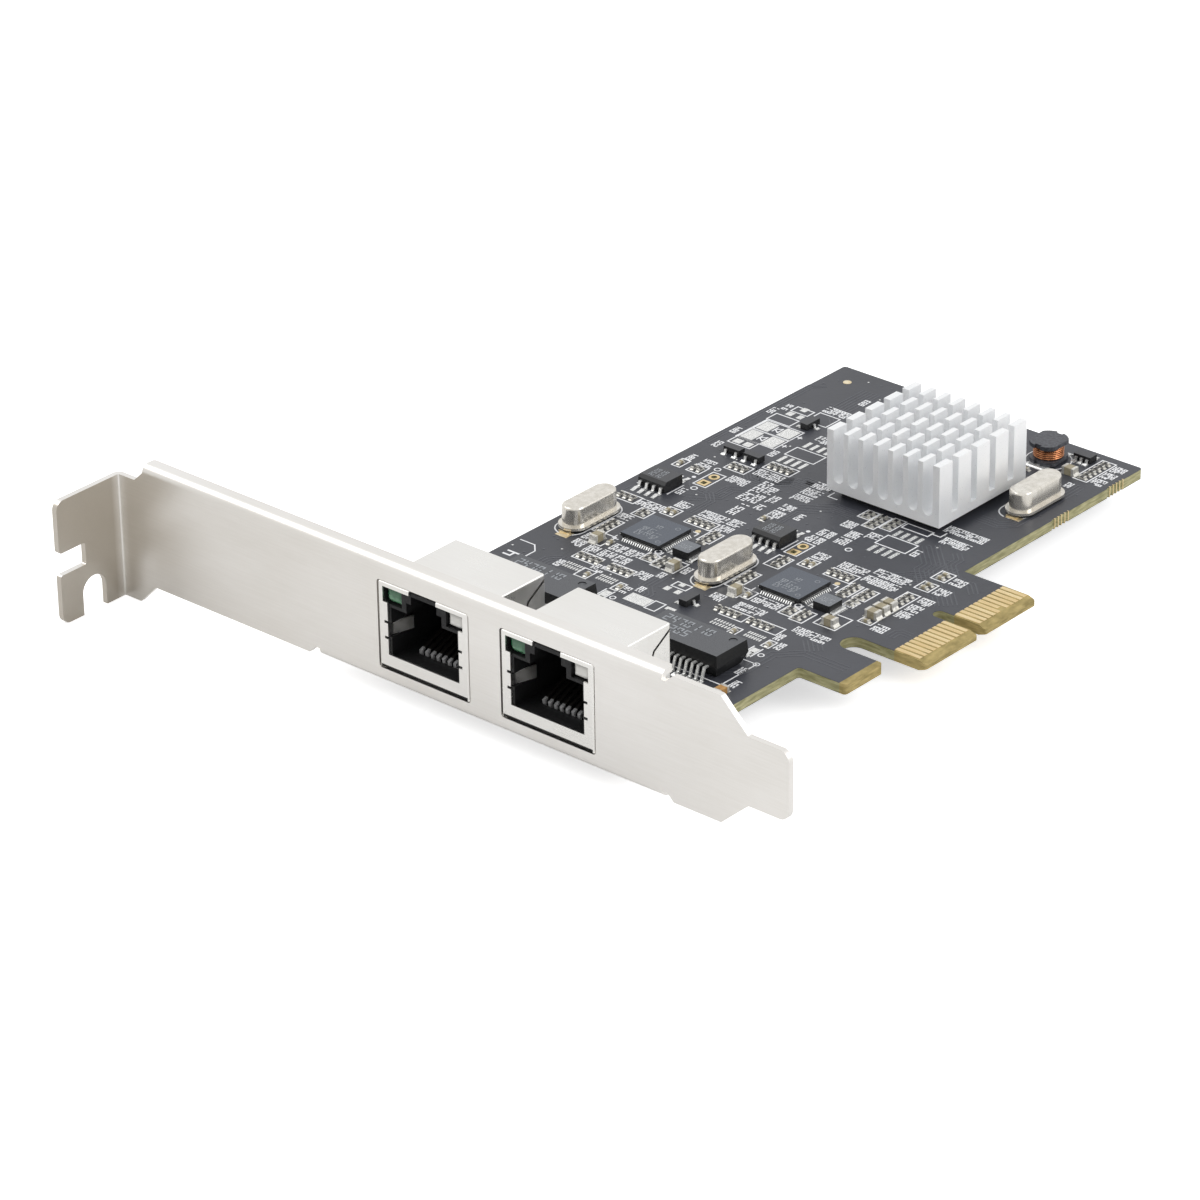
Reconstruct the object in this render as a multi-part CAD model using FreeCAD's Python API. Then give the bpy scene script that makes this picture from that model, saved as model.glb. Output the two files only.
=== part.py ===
import FreeCAD, Part

import math
import os

# Network interface card with two shielded jacks, a slot bracket and a pin-fin heat sink.
# Working axes: X runs along the bracket from its screw tab to its tongue, Y runs from the
# bracket's front face into the card, Z is up from the lower edge of the bracket.
# Every size is in millimetres.

os.makedirs("parts", exist_ok=True)

# Slot bracket
sheet = 0.86
bend_radius = 0.30
bracket_length = 120.02
bracket_width = 18.42
tab_reach = 11.90
tab_drop = 3.10
tab_top = 15.65
tab_corner = 1.40
tab_notch_low = 4.45
tab_notch_high = 7.80
tab_notch_depth = 4.90
screw_slot_width = 4.42
screw_slot_centre = 5.75
screw_slot_rise = 0.05
neck_flat = 3.95
top_flange_start = 5.60
top_flange_depth = 2.45
flange_end = 99.10
lower_flange_start = 38.40
lower_flange_depth = 4.20
relief_flat = 0.70
relief_slope = 1.20
taper_start = 108.90
tongue_start = 113.40
tongue_width = 10.00
tongue_low = 4.00
tongue_corner = 1.60
soft_corner = 0.50
ear_reach = 9.60
ear_half_width = 2.45
ear_corner = 1.00

# Circuit board
board_thickness = 1.57
board_clearance = 0.45
board_left = 38.55
board_right = 92.95
board_far = 112.85
board_corner = 0.50
finger_tip = 105.30
finger_edge_half = 12.15
key_centre = 59.03
key_width = 1.90
key_depth = 8.10
tip_bevel_length = 1.30
tip_bevel_depth = 0.45
hook_tab_start = 35.17
hook_tab_tip = 100.90
hook_tab_corner = 0.50
hook_slot_width = 3.73
hook_slot_end = 92.60
bite_radius = 0.30
bite_pitch = 0.78
bites_per_group = 5
bite_centres = (93.20, 106.20)
header_hole = 1.00
header_pitch = 2.10
header_places = ((47.65, 69.50), (71.10, 60.70))

# Contact fingers
finger_pitch = 1.00
finger_width = 0.70
finger_length = 4.20
finger_plating = 0.05
fingers_per_group = 11
short_finger = 5
short_finger_cut = 0.80

# Screws that hold the board on the bracket's ears
screw_thread = 2.50
screw_head = 4.60
screw_head_height = 1.70
screw_recess = 1.90
screw_recess_depth = 0.80
screw_depth_past_ear = 0.30
screw_from_bracket = 6.60
first_screw_x = 43.60
screw_gap = 0.50
screw_hole_clearance = 0.10

# Jacks
jack_first = 57.75
jack_pitch = 21.85
jack_width = 16.00
jack_height = 12.95
jack_depth = 15.40
jack_proud = 0.05
opening_clearance = 0.20
opening_drop = 0.20
shield_sheet = 0.25
shield_corner = 0.30
shield_fit = 0.05
shield_front_lift = 0.50
window_border = 1.65
window_bottom = 2.22
light_window_border = 0.85
light_window_bottom = 9.99
light_window_top = 12.27
latch_half_width = 2.42
spring_low = 4.90
spring_high = 6.85
spring_slit = 0.40
spring_slit_depth = 0.60
spring_length = 4.10
spring_lean = 0.95
seam_width = 0.38
seam_path = ((0.10, 0.90), (3.40, 2.90), (3.70, 3.60))
tail_width = 1.50
tail_from_front = 6.20
tail_length = 1.30
plug_half_width = 5.95
plug_floor = 2.12
plug_roof = 9.32
plug_depth = 12.00
latch_channel_half = 3.15
latch_channel_roof = 10.87
latch_channel_depth = 9.00
keyway_half = 2.30
keyway_roof = 12.10
keyway_depth = 5.00
light_from_side = 0.95
light_width = 3.05
light_low = 9.80
light_high = 12.10
light_setback = 0.55
light_length = 6.30
light_fit = 0.04
light_corner = 0.95
light_face_round = 0.80
peg_spacing = 11.43
peg_diameter = 3.20
peg_from_front = 9.00
peg_past_board = 0.50

# Jack contacts
contact_count = 8
contact_pitch = 1.016
contact_width = 0.46
contact_thick = 0.30
contact_bend = 3.45
contact_lean = 0.15
contact_low_run = 1.06
contact_lip = 2.45
contact_tip = 9.60
contact_tip_height = 4.75
contact_tail_rows = (8.90, 11.44)
contact_tail_length = 1.20
contact_room = 0.12
contact_hole = 0.90

# Share of a bent pin's run that stays level at the body
pin_shoulder = 0.55

# Transformer modules behind the jacks
module_centres = ((53.90, 27.90), (80.12, 28.42))
module_length = 14.10
module_width = 6.60
module_standoff = 0.12
module_parting = 1.80
module_height = 3.60
module_draft = 0.16
module_undercut = 0.75
module_pins = 12
module_pin_pitch = 1.00
module_pin_width = 0.40
module_pin_thick = 0.22
module_pin_reach = 2.30
module_foot = 1.00
dimple_radius = 0.60
dimple_depth = 0.12
dimple_inset = 1.45

# Switch chip, adhesive pad and heat sink
switch_centre = (73.80, 87.28)
switch_size = 17.00
switch_height = 1.05
pad_thickness = 0.20
pad_inset = 0.50
sink_size = 20.00
sink_height = 9.42
sink_base = 1.40
sink_slots = 7
sink_slot_width = 1.75
sink_slot_pitch = 2.65
sink_cross_cuts = 4
sink_cross_width = 1.35

# Network chips
network_chip_centres = ((53.20, 52.45), (78.25, 52.40))
network_chip_size = 7.00
network_chip_height = 0.88
terminals_per_side = 14
terminal_pitch = 0.40
terminal_width = 0.20
terminal_height = 0.30
terminal_reach = 0.45

# Memory chips
memory_centres = ((43.15, 65.20), (66.62, 62.12))
memory_length = 4.90
memory_width = 3.90
memory_height = 1.65
memory_standoff = 0.12
memory_bevel = 0.45
memory_pins = 4
memory_pitch = 1.27
memory_pin_width = 0.42
memory_pin_thick = 0.20
memory_pin_reach = 1.05
memory_foot = 0.60

# Crystals
crystal_centres = ((42.60, 50.50), (67.62, 50.33), (88.00, 93.95))
crystal_base_length = 10.30
crystal_base_width = 4.00
crystal_base_height = 0.42
crystal_rim_length = 10.95
crystal_rim_width = 4.60
crystal_rim_height = 0.38
crystal_can_length = 9.85
crystal_can_width = 3.55
crystal_can_height = 3.70
crystal_can_round = 0.40
crystal_lead_reach = 5.60
crystal_lead_width = 1.80
crystal_lead_thick = 0.20

# Drum inductor
drum_centre = (80.92, 106.60)
drum_diameter = 5.70
drum_flat = 4.60
drum_height = 3.30
drum_flange = 0.62
drum_post = 2.40
drum_notch = 1.10
drum_notch_depth = 0.45
winding_diameter = 4.50
winding_fit = 0.05
drum_pad_width = 3.40
drum_pad_length = 1.50
drum_pad_reach = 0.35
drum_pad_thick = 0.20

# Shielded inductors
choke_centres = ((60.15, 50.90), (85.20, 50.90))
choke_size = 3.00
choke_height = 1.20
choke_corner = 0.30
choke_terminal_reach = 0.45
choke_terminal_height = 0.30
choke_terminal_inset = 0.20

# Transistors and regulators, given as centre and the turn of their lead side
transistor_places = ((44.75, 79.70, 0), (48.45, 79.70, 0), (47.65, 93.45, -90), (69.85, 40.00, -90))
regulator_place = (85.00, 109.90, 0)
regulator_leads_per_side = 3
transistor_length = 2.90
transistor_width = 1.30
regulator_width = 1.60
transistor_height = 1.00
transistor_standoff = 0.10
transistor_pitch = 0.95
transistor_pin_width = 0.42
transistor_pin_thick = 0.15
transistor_pin_reach = 0.60
transistor_foot = 0.35

# Chip capacitors and resistors
small_chip = (1.00, 0.50, 0.40)
large_chip = (2.00, 1.25, 1.15)
surge_chip = (2.00, 1.25, 0.90)
surge_centre = (89.72, 22.90)
small_pitch = 1.12
row_shift = 24.95

# Rows of chips: first centre, how many, and the way that the row runs
capacitor_rows = (
    (40.95, 72.20, 1, "X"), (49.45, 59.40, 2, "X"), (74.60, 59.35, 2, "X"), (61.50, 66.00, 1, "X"),
    (91.90, 50.95, 1, "Y"), (91.90, 63.60, 2, "Y"), (91.90, 67.30, 2, "Y"), (53.70, 37.30, 1, "X"),
    (59.65, 37.30, 1, "X"), (79.90, 37.30, 1, "X"), (86.00, 37.30, 1, "X"), (74.60, 46.70, 1, "X"),
    (49.75, 46.70, 1, "X"), (80.40, 101.90, 1, "Y"))
large_capacitor_rows = (
    (47.80, 46.20, 1, "X"), (61.60, 46.40, 1, "X"), (72.90, 46.20, 1, "X"), (88.60, 47.20, 1, "Y"),
    (91.75, 52.60, 3, "Y"), (86.00, 104.90, 1, "Y"))
large_pitch = 1.75
doubled_resistor_rows = (
    (54.00, 59.35, 4, "X"), (59.50, 54.75, 4, "Y"), (57.00, 46.20, 2, "Y"), (59.10, 45.60, 3, "Y"),
    (49.00, 41.20, 4, "X"), (54.70, 41.20, 4, "X"), (46.15, 48.60, 4, "Y"))
resistor_rows = (
    (47.25, 56.00, 2, "Y"), (40.90, 59.15, 3, "X"), (43.50, 72.20, 2, "X"), (47.30, 76.20, 3, "X"),
    (51.65, 79.70, 4, "X"), (71.80, 56.10, 3, "Y"), (87.05, 53.40, 5, "Y"), (91.90, 58.10, 3, "Y"),
    (72.25, 75.60, 2, "Y"), (74.35, 73.60, 4, "Y"), (76.60, 74.75, 3, "Y"), (88.35, 104.75, 6, "Y"))

# How near an edge lies to a level to be taken as on it
edge_match = 0.001

# How far one cut runs into the next so that no skin is left between them
cut_overlap = 0.10

# Where things stand on one another
bend_outer = sheet + bend_radius
board_near = sheet + board_clearance
board_bottom = sheet
board_top = board_bottom + board_thickness
jack_centres = (jack_first, jack_first + jack_pitch)
jack_front = -jack_proud
jack_back = jack_front + jack_depth
jack_roof = board_top + jack_height
window_half_width = jack_width / 2 - window_border
light_window_half_width = jack_width / 2 - light_window_border
light_outer = jack_width / 2 - light_from_side
light_inner = light_outer - light_width
last_screw_x = jack_centres[-1] + jack_width / 2 + screw_gap + screw_head / 2
screw_places_x = (first_screw_x, last_screw_x)
sink_bottom = board_top + switch_height + pad_thickness
origin = FreeCAD.Vector(bracket_length / 2, (board_far - tab_reach) / 2, -tab_drop)


def point_in(plane, a, b, level):
    """Turn two in-plane numbers and a level into a point."""
    if plane == "XY":
        return FreeCAD.Vector(a, b, level)
    if plane == "XZ":
        return FreeCAD.Vector(a, level, b)
    return FreeCAD.Vector(level, a, b)


def rounded_wire(corners, plane, level):
    """Close a wire through corners of the form (a, b, radius), with each corner rounded."""
    count = len(corners)
    arcs = []
    for index in range(count):
        corner = FreeCAD.Vector(corners[index][0], corners[index][1], 0)
        before = FreeCAD.Vector(corners[index - 1][0], corners[index - 1][1], 0) - corner
        after = FreeCAD.Vector(corners[(index + 1) % count][0], corners[(index + 1) % count][1], 0) - corner
        radius = corners[index][2]
        before.normalize()
        after.normalize()
        half = before.getAngle(after) / 2
        if radius <= 0:
            arcs.append((corner, corner, corner))
            continue
        inward = before + after
        inward.normalize()
        back = radius / math.tan(half)
        middle = corner + inward * (radius / math.sin(half) - radius)
        arcs.append((corner + before * back, middle, corner + after * back))
    edges = []
    for index in range(count):
        start, middle, end = [point_in(plane, p.x, p.y, level) for p in arcs[index]]
        following = arcs[(index + 1) % count][0]
        next_start = point_in(plane, following.x, following.y, level)
        if corners[index][2] > 0:
            edges.append(Part.Arc(start, middle, end).toShape())
        if end.distanceToPoint(next_start) > 1e-6:
            edges.append(Part.LineSegment(end, next_start).toShape())
    return Part.Wire(edges)


def prism(corners, plane, low, high):
    """Extrude a rounded outline between two levels."""
    face = Part.Face(rounded_wire(corners, plane, low))
    return face.extrude(point_in(plane, 0, 0, high - low))


def box(x_low, x_high, y_low, y_high, z_low, z_high):
    corner = FreeCAD.Vector(x_low, y_low, z_low)
    return Part.makeBox(x_high - x_low, y_high - y_low, z_high - z_low, corner)


def drill(diameter, x, y, z_low, z_high):
    return Part.makeCylinder(diameter / 2, z_high - z_low, FreeCAD.Vector(x, y, z_low))


def rectangle(a_low, a_high, b_low, b_high, radius=0.0):
    return [(a_low, b_low, radius), (a_high, b_low, radius),
            (a_high, b_high, radius), (a_low, b_high, radius)]


def obround(centre, length, width):
    """Outline in plan with round ends, long along Y."""
    x, y = centre
    return rectangle(x - width / 2, x + width / 2, y - length / 2, y + length / 2, width / 2)


def joined(shapes):
    """Fuse pieces that are one piece on the real card."""
    return shapes[0].fuse(shapes[1:]).removeSplitter()


def strip_outline(path, thickness):
    """Outline of a bent strip of even thickness along a path, with mitred bends."""
    sides = ([], [])
    last = len(path) - 1
    for index in range(last + 1):
        here = FreeCAD.Vector(path[index][0], path[index][1], 0)
        directions = []
        if index > 0:
            directions.append((here - FreeCAD.Vector(path[index - 1][0], path[index - 1][1], 0)).normalize())
        if index < last:
            directions.append((FreeCAD.Vector(path[index + 1][0], path[index + 1][1], 0) - here).normalize())
        normals = [FreeCAD.Vector(-d.y, d.x, 0) for d in directions]
        mitre = normals[0] + normals[-1]
        mitre.normalize()
        offset = mitre * (thickness / 2 / mitre.dot(normals[0]))
        sides[0].append((here.x + offset.x, here.y + offset.y, 0))
        sides[1].append((here.x - offset.x, here.y - offset.y, 0))
    return sides[0] + sides[1][::-1]


def turned(shape, x, y, angle):
    """Turn a shape about a vertical line."""
    shape.rotate(FreeCAD.Vector(x, y, 0), FreeCAD.Vector(0, 0, 1), angle)
    return shape


def bend(axis, centre_a, centre_b, side_a, side_b, low, high):
    """Quarter ring of sheet. The two centre values and sides are in the plane across the axis."""
    planes = {"X": "YZ", "Z": "XY"}
    plane = planes[axis]
    base = point_in(plane, centre_a, centre_b, low)
    direction = point_in(plane, 0, 0, 1)
    outer = Part.makeCylinder(bend_outer, high - low, base, direction)
    inner = Part.makeCylinder(bend_radius, high - low, base, direction)
    quarter = prism(
        [(centre_a, centre_b, 0),
         (centre_a + side_a * bend_outer, centre_b, 0),
         (centre_a + side_a * bend_outer, centre_b + side_b * bend_outer, 0),
         (centre_a, centre_b + side_b * bend_outer, 0)],
        plane, low, high)
    return outer.cut(inner).common(quarter)


def plate_outline():
    """Flat front of the bracket between its bends."""
    relief_start = flange_end + relief_flat
    return [
        (bend_outer, -tab_drop, 0),
        (neck_flat, -tab_drop, soft_corner),
        (neck_flat + tab_drop, 0, soft_corner),
        (lower_flange_start - relief_flat - relief_slope, 0, 0),
        (lower_flange_start - relief_flat, bend_outer, 0),
        (relief_start, bend_outer, 0),
        (relief_start + relief_slope, 0, 0),
        (taper_start, 0, soft_corner),
        (tongue_start, tongue_low, soft_corner),
        (bracket_length, tongue_low, tongue_corner),
        (bracket_length, tongue_low + tongue_width, tongue_corner),
        (tongue_start, tongue_low + tongue_width, soft_corner),
        (taper_start, bracket_width, soft_corner),
        (relief_start + relief_slope, bracket_width, 0),
        (relief_start, bracket_width - bend_outer, 0),
        (top_flange_start, bracket_width - bend_outer, 0),
        (neck_flat, tab_top, soft_corner),
        (bend_outer, tab_top, 0)]


def tab_outline():
    """Screw tab, seen along the bracket, with a notch in its free edge."""
    notch_wall = tab_notch_depth - tab_reach
    return [
        (-bend_radius, -tab_drop, 0),
        (-bend_radius, tab_top, 0),
        (-tab_reach, tab_top, tab_corner),
        (-tab_reach, tab_notch_high, soft_corner),
        (notch_wall, tab_notch_high, soft_corner / 2),
        (notch_wall, tab_notch_low, soft_corner / 2),
        (-tab_reach, tab_notch_low, soft_corner),
        (-tab_reach, -tab_drop, tab_corner)]


def jack_opening(centre):
    """Hole in the bracket for one jack, taken from the jack's own size."""
    half = jack_width / 2 + opening_clearance
    low = board_top - opening_drop
    high = jack_roof + opening_clearance / 2
    return prism(rectangle(centre - half, centre + half, low, high, soft_corner), "XZ", -1, sheet + 1)


def bracket():
    """One folded sheet: front, screw tab, two flanges and two ears under the board."""
    front = prism(plate_outline(), "XZ", 0, sheet)
    tab = prism(tab_outline(), "YZ", 0, sheet)
    slot_half = screw_slot_width / 2
    slot = box(-1, sheet + 1, -screw_slot_centre - slot_half, -screw_slot_centre + slot_half,
               -tab_drop - 1, screw_slot_rise)
    slot_end = Part.makeCylinder(slot_half, sheet + 2,
                                 FreeCAD.Vector(-1, -screw_slot_centre, screw_slot_rise),
                                 FreeCAD.Vector(1, 0, 0))
    tab = tab.cut(slot).cut(slot_end)
    tab_bend = bend("Z", bend_outer, -bend_radius, -1, 1, -tab_drop, tab_top)
    top_bend = bend("X", bend_outer, bracket_width - bend_outer, -1, 1, top_flange_start, flange_end)
    top_flange = prism(
        [(top_flange_start, bend_outer, 0), (flange_end, bend_outer, 0),
         (flange_end, top_flange_depth, soft_corner), (top_flange_start, top_flange_depth, soft_corner)],
        "XY", bracket_width - sheet, bracket_width)
    lower_bend = bend("X", bend_outer, bend_outer, -1, -1, lower_flange_start, flange_end)
    lower_flange = prism(
        [(lower_flange_start, bend_outer, 0), (flange_end, bend_outer, 0),
         (flange_end, lower_flange_depth, soft_corner),
         (lower_flange_start, lower_flange_depth, soft_corner)],
        "XY", 0, sheet)
    ears = []
    for x in screw_places_x:
        outline = [
            (x - ear_half_width, bend_outer, 0), (x + ear_half_width, bend_outer, 0),
            (x + ear_half_width, ear_reach, ear_corner), (x - ear_half_width, ear_reach, ear_corner)]
        ears.append(prism(outline, "XY", 0, sheet))
    whole = joined([front, tab, tab_bend, top_bend, top_flange, lower_bend, lower_flange] + ears)
    for x in screw_places_x:
        whole = whole.cut(drill(screw_thread + screw_hole_clearance, x, screw_from_bracket, -1, sheet + 1))
    for centre in jack_centres:
        whole = whole.cut(jack_opening(centre))
    return [whole]


def bracket_screws():
    """Two pan-head screws with a cross recess, through the board into the ears."""
    screws = []
    for x in screw_places_x:
        top = board_top + screw_head_height
        head = drill(screw_head, x, screw_from_bracket, board_top, top)
        rim = [edge for edge in head.Edges if edge.BoundBox.ZMin > top - edge_match]
        head = head.makeFillet(screw_head_height / 3, rim)
        shank = drill(screw_thread, x, screw_from_bracket, -screw_depth_past_ear, board_top)
        screw = joined([head, shank])
        half = screw_recess / 2
        for size_x, size_y in ((half, half / 4), (half / 4, half)):
            screw = screw.cut(box(x - size_x, x + size_x, screw_from_bracket - size_y,
                                  screw_from_bracket + size_y, top - screw_recess_depth, top + 1))
        screws.append(screw)
    return screws


def board_outline():
    """Plan of the board with its connector edge, rounded slot and hook tab."""
    edge_start = key_centre - finger_edge_half
    edge_end = key_centre + finger_edge_half
    hook_end = edge_start - hook_slot_width
    slot_round = hook_slot_width / 2
    key_round = key_width / 2
    key_end = finger_tip - key_depth
    return [
        (board_left, board_near, 0),
        (board_left, board_far, board_corner),
        (board_right, board_far, board_corner),
        (board_right, edge_end, 0),
        (finger_tip, edge_end, board_corner),
        (finger_tip, key_centre + key_width / 2, board_corner / 2),
        (key_end, key_centre + key_width / 2, key_round),
        (key_end, key_centre - key_width / 2, key_round),
        (finger_tip, key_centre - key_width / 2, board_corner / 2),
        (finger_tip, edge_start, board_corner),
        (hook_slot_end, edge_start, slot_round),
        (hook_slot_end, hook_end, slot_round),
        (hook_tab_tip, hook_end, hook_tab_corner),
        (hook_tab_tip, hook_tab_start, hook_tab_corner),
        (board_right, hook_tab_start, hook_tab_corner),
        (board_right, board_near, 0)]


def tip_bevels():
    """Wedges cut from both faces along the tip of the connector edge."""
    low = key_centre - finger_edge_half - 1
    high = key_centre + finger_edge_half + 1
    start = finger_tip - tip_bevel_length
    wedges = []
    for face, inward in ((board_top, -1), (board_bottom, 1)):
        outline = [(start, face, 0), (finger_tip + 1, face, 0),
                   (finger_tip + 1, face + inward * tip_bevel_depth * (1 + 1 / tip_bevel_length), 0)]
        wedges.append(prism(outline, "XZ", low, high))
    return wedges


def circuit_board():
    board = prism(board_outline(), "XY", board_bottom, board_top)
    low = board_bottom - 1
    high = board_top + 1
    cuts = tip_bevels()
    for x in screw_places_x:
        cuts.append(drill(screw_thread + 2 * screw_hole_clearance, x, screw_from_bracket, low, high))
    for x, y in header_places:
        for step in range(2):
            cuts.append(drill(header_hole, x, y + step * header_pitch, low, high))
    for centre in bite_centres:
        for index in range(bites_per_group):
            along = centre + (index - (bites_per_group - 1) / 2) * bite_pitch
            cuts.append(drill(2 * bite_radius, board_right + bite_radius / 3, along, low, high))
    for jack in jack_centres:
        for side in (-1, 1):
            cuts.append(drill(peg_diameter + 2 * shield_fit, jack + side * peg_spacing / 2,
                              jack_front + peg_from_front, low, high))
            tail_x = jack + side * (jack_width / 2 - shield_sheet / 2)
            cuts.append(box(tail_x - shield_sheet, tail_x + shield_sheet,
                            jack_front + tail_from_front - tail_width / 2 - shield_fit,
                            jack_front + tail_from_front + tail_width / 2 + shield_fit, low, high))
        for index in range(contact_count):
            cuts.append(drill(contact_hole, contact_x(jack, index), contact_tail_rows[index % 2], low, high))
    return [board.cut(cuts)]


def edge_contacts():
    """Flat gold fingers on both faces, eleven on each side of the key notch."""
    solids = []
    finger_end = finger_tip - tip_bevel_length
    first = key_width / 2 + (finger_edge_half - key_width / 2 - (fingers_per_group - 1) * finger_pitch) / 2
    for side in (-1, 1):
        for index in range(fingers_per_group):
            middle = key_centre + side * (first + index * finger_pitch)
            for bottom in (board_top, board_bottom - finger_plating):
                cut = short_finger_cut if side > 0 and index == short_finger and bottom == board_top else 0
                solids.append(box(finger_end - finger_length, finger_end - cut,
                                  middle - finger_width / 2, middle + finger_width / 2,
                                  bottom, bottom + finger_plating))
    return solids


def rounded_shell_block(x_low, x_high, y_low, y_high, z_low, z_high, radius):
    """Block with rounded upright edges and a rounded top front edge."""
    block = prism(rectangle(x_low, x_high, y_low, y_high, radius), "XY", z_low, z_high)
    top_edges = [edge for edge in block.Edges if edge.BoundBox.ZMin > z_high - edge_match]
    return block.makeFillet(radius * 0.99, top_edges)


def window_outline(jack):
    """Opening in the shield's front: plug window, two light windows and the latch notch."""
    main = window_half_width
    light = light_window_half_width
    floor = board_top + window_bottom
    shelf = board_top + light_window_bottom
    top = board_top + light_window_top
    above = jack_roof + 1
    right = [(main, floor), (main, shelf), (light, shelf), (light, top),
             (latch_half_width, top), (latch_half_width, above)]
    left = [(-a, b) for a, b in reversed(right)]
    return [(jack + a, b, 0) for a, b in right + left]


def shield_spring(jack, side):
    """Side spring, folded back from the front into the plug space."""
    start = window_half_width + shield_sheet / 2
    path = [(jack + side * start, jack_front + shield_sheet / 2),
            (jack + side * start, jack_front + 4 * shield_sheet),
            (jack + side * (start - spring_lean), jack_front + spring_length)]
    return prism(strip_outline(path, shield_sheet), "XY", board_top + spring_low, board_top + spring_high)


def jack_shield(jack):
    """Folded sheet cover, open below, with springs, seams and solder tails."""
    half = jack_width / 2
    outer = rounded_shell_block(jack - half, jack + half, jack_front, jack_back,
                                board_top, jack_roof, shield_corner)
    inner = rounded_shell_block(jack - half + shield_sheet, jack + half - shield_sheet,
                                jack_front + shield_sheet, jack_back - shield_sheet,
                                board_top - 1, jack_roof - shield_sheet, shield_corner - shield_sheet)
    shell = outer.cut(inner)
    cuts = [prism(window_outline(jack), "XZ", jack_front - 1, jack_front + shield_corner + shield_sheet)]
    cuts.append(box(jack - half + shield_sheet, jack + half - shield_sheet, jack_front - 1,
                    jack_front + shield_corner, board_top - 1, board_top + shield_front_lift))
    for side in (-1, 1):
        edge = window_half_width + spring_slit_depth / 2
        for level in (spring_low - spring_slit, spring_high):
            middle = jack + side * edge
            cuts.append(box(middle - spring_slit_depth / 2, middle + spring_slit_depth / 2, jack_front - 1,
                            jack_front + 2 * shield_sheet,
                            board_top + level, board_top + level + spring_slit))
        seam = strip_outline([(jack_back - back, jack_roof - down) for back, down in seam_path], seam_width)
        wall = jack + side * half
        cuts.append(prism(seam, "YZ", wall - 2 * shield_sheet, wall + 2 * shield_sheet))
    shell = shell.cut(cuts)
    added = []
    for side in (-1, 1):
        added.append(shield_spring(jack, side))
        wall = jack + side * (half - shield_sheet / 2)
        added.append(box(wall - shield_sheet / 2, wall + shield_sheet / 2,
                         jack_front + tail_from_front - tail_width / 2,
                         jack_front + tail_from_front + tail_width / 2,
                         board_bottom - tail_length, board_top + 1))
    return [joined([shell] + added)]


def light_block(jack, side, low, high, y_low, y_high, grow):
    """Straight bar with one rounded lower corner, used for a light and for its pocket."""
    inner = jack + side * (light_inner - grow)
    outer = jack + side * (light_outer + grow)
    outline = [(inner, low - grow, 0), (outer, low - grow, light_corner),
               (outer, high + grow, 0), (inner, high + grow, 0)]
    return prism(outline, "XZ", y_low, y_high)


def jack_housing(jack):
    """Moulded insert with the plug space, latch channel, light pockets and contact channel."""
    half = jack_width / 2 - shield_sheet - shield_fit
    front = jack_front + shield_sheet + shield_fit
    back = jack_back - shield_sheet - shield_fit
    roof = jack_roof - shield_sheet - shield_fit
    block = rounded_shell_block(jack - half, jack + half, front, back, board_top, roof,
                                shield_corner - shield_sheet)
    opened = jack_front - 1
    cuts = [
        box(jack - plug_half_width, jack + plug_half_width, opened, jack_front + plug_depth,
            board_top + plug_floor, board_top + plug_roof),
        box(jack - latch_channel_half, jack + latch_channel_half, opened, jack_front + latch_channel_depth,
            board_top + plug_roof - cut_overlap, board_top + latch_channel_roof),
        box(jack - keyway_half, jack + keyway_half, opened, jack_front + keyway_depth,
            board_top + latch_channel_roof - cut_overlap, board_top + keyway_roof)]
    room = contact_thick / 2 + contact_room
    reach = contact_pitch * (contact_count - 1) / 2 + contact_width / 2 + contact_room
    run = board_top + contact_low_run
    last_row = contact_tail_rows[-1] + room
    cuts.append(box(jack - reach, jack + reach, contact_bend - 2 * room, last_row, run - room, run + room))
    cuts.append(box(jack - reach, jack + reach, contact_bend - 2 * room, contact_bend + 2 * room,
                    run - room, board_top + plug_floor + cut_overlap))
    for row in contact_tail_rows:
        cuts.append(box(jack - reach, jack + reach, row - room, row + room, board_top - 1, run))
    for side in (-1, 1):
        cuts.append(light_block(jack, side, board_top + light_low, board_top + light_high, opened,
                                jack_front + light_setback + light_length + light_fit, light_fit))
        inner = plug_half_width - cut_overlap
        outer = window_half_width + shield_sheet + shield_fit
        low, high = sorted((jack + side * inner, jack + side * outer))
        cuts.append(box(low, high, opened, jack_front + spring_length + 4 * shield_fit,
                        board_top + spring_low - shield_fit, board_top + spring_high + shield_fit))
    block = block.cut(cuts)
    pegs = [drill(peg_diameter, jack + side * peg_spacing / 2, jack_front + peg_from_front,
                  board_bottom - peg_past_board, board_top) for side in (-1, 1)]
    return [joined([block] + pegs)]


def contact_x(jack, index):
    return jack + (index - (contact_count - 1) / 2) * contact_pitch


def jack_contacts(jack):
    """Spring wires: a tail through the board, a low run forward and a rising free end."""
    wires = []
    for index in range(contact_count):
        row = contact_tail_rows[index % 2]
        path = [(row, board_bottom - contact_tail_length), (row, board_top + contact_low_run),
                (contact_bend, board_top + contact_low_run),
                (contact_bend - contact_lean, board_top + contact_lip),
                (contact_tip, board_top + contact_tip_height)]
        middle = contact_x(jack, index)
        wires.append(prism(strip_outline(path, contact_thick), "YZ",
                           middle - contact_width / 2, middle + contact_width / 2))
    return wires


def jack_light(jack, side):
    """Light pipe in its pocket, with a rounded face towards the front."""
    start = jack_front + light_setback
    bar = light_block(jack, side, board_top + light_low, board_top + light_high,
                      start, start + light_length, 0)
    face_edges = [edge for edge in bar.Edges if edge.BoundBox.YMax < start + edge_match]
    return [bar.makeFillet(light_face_round, face_edges)]


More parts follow.
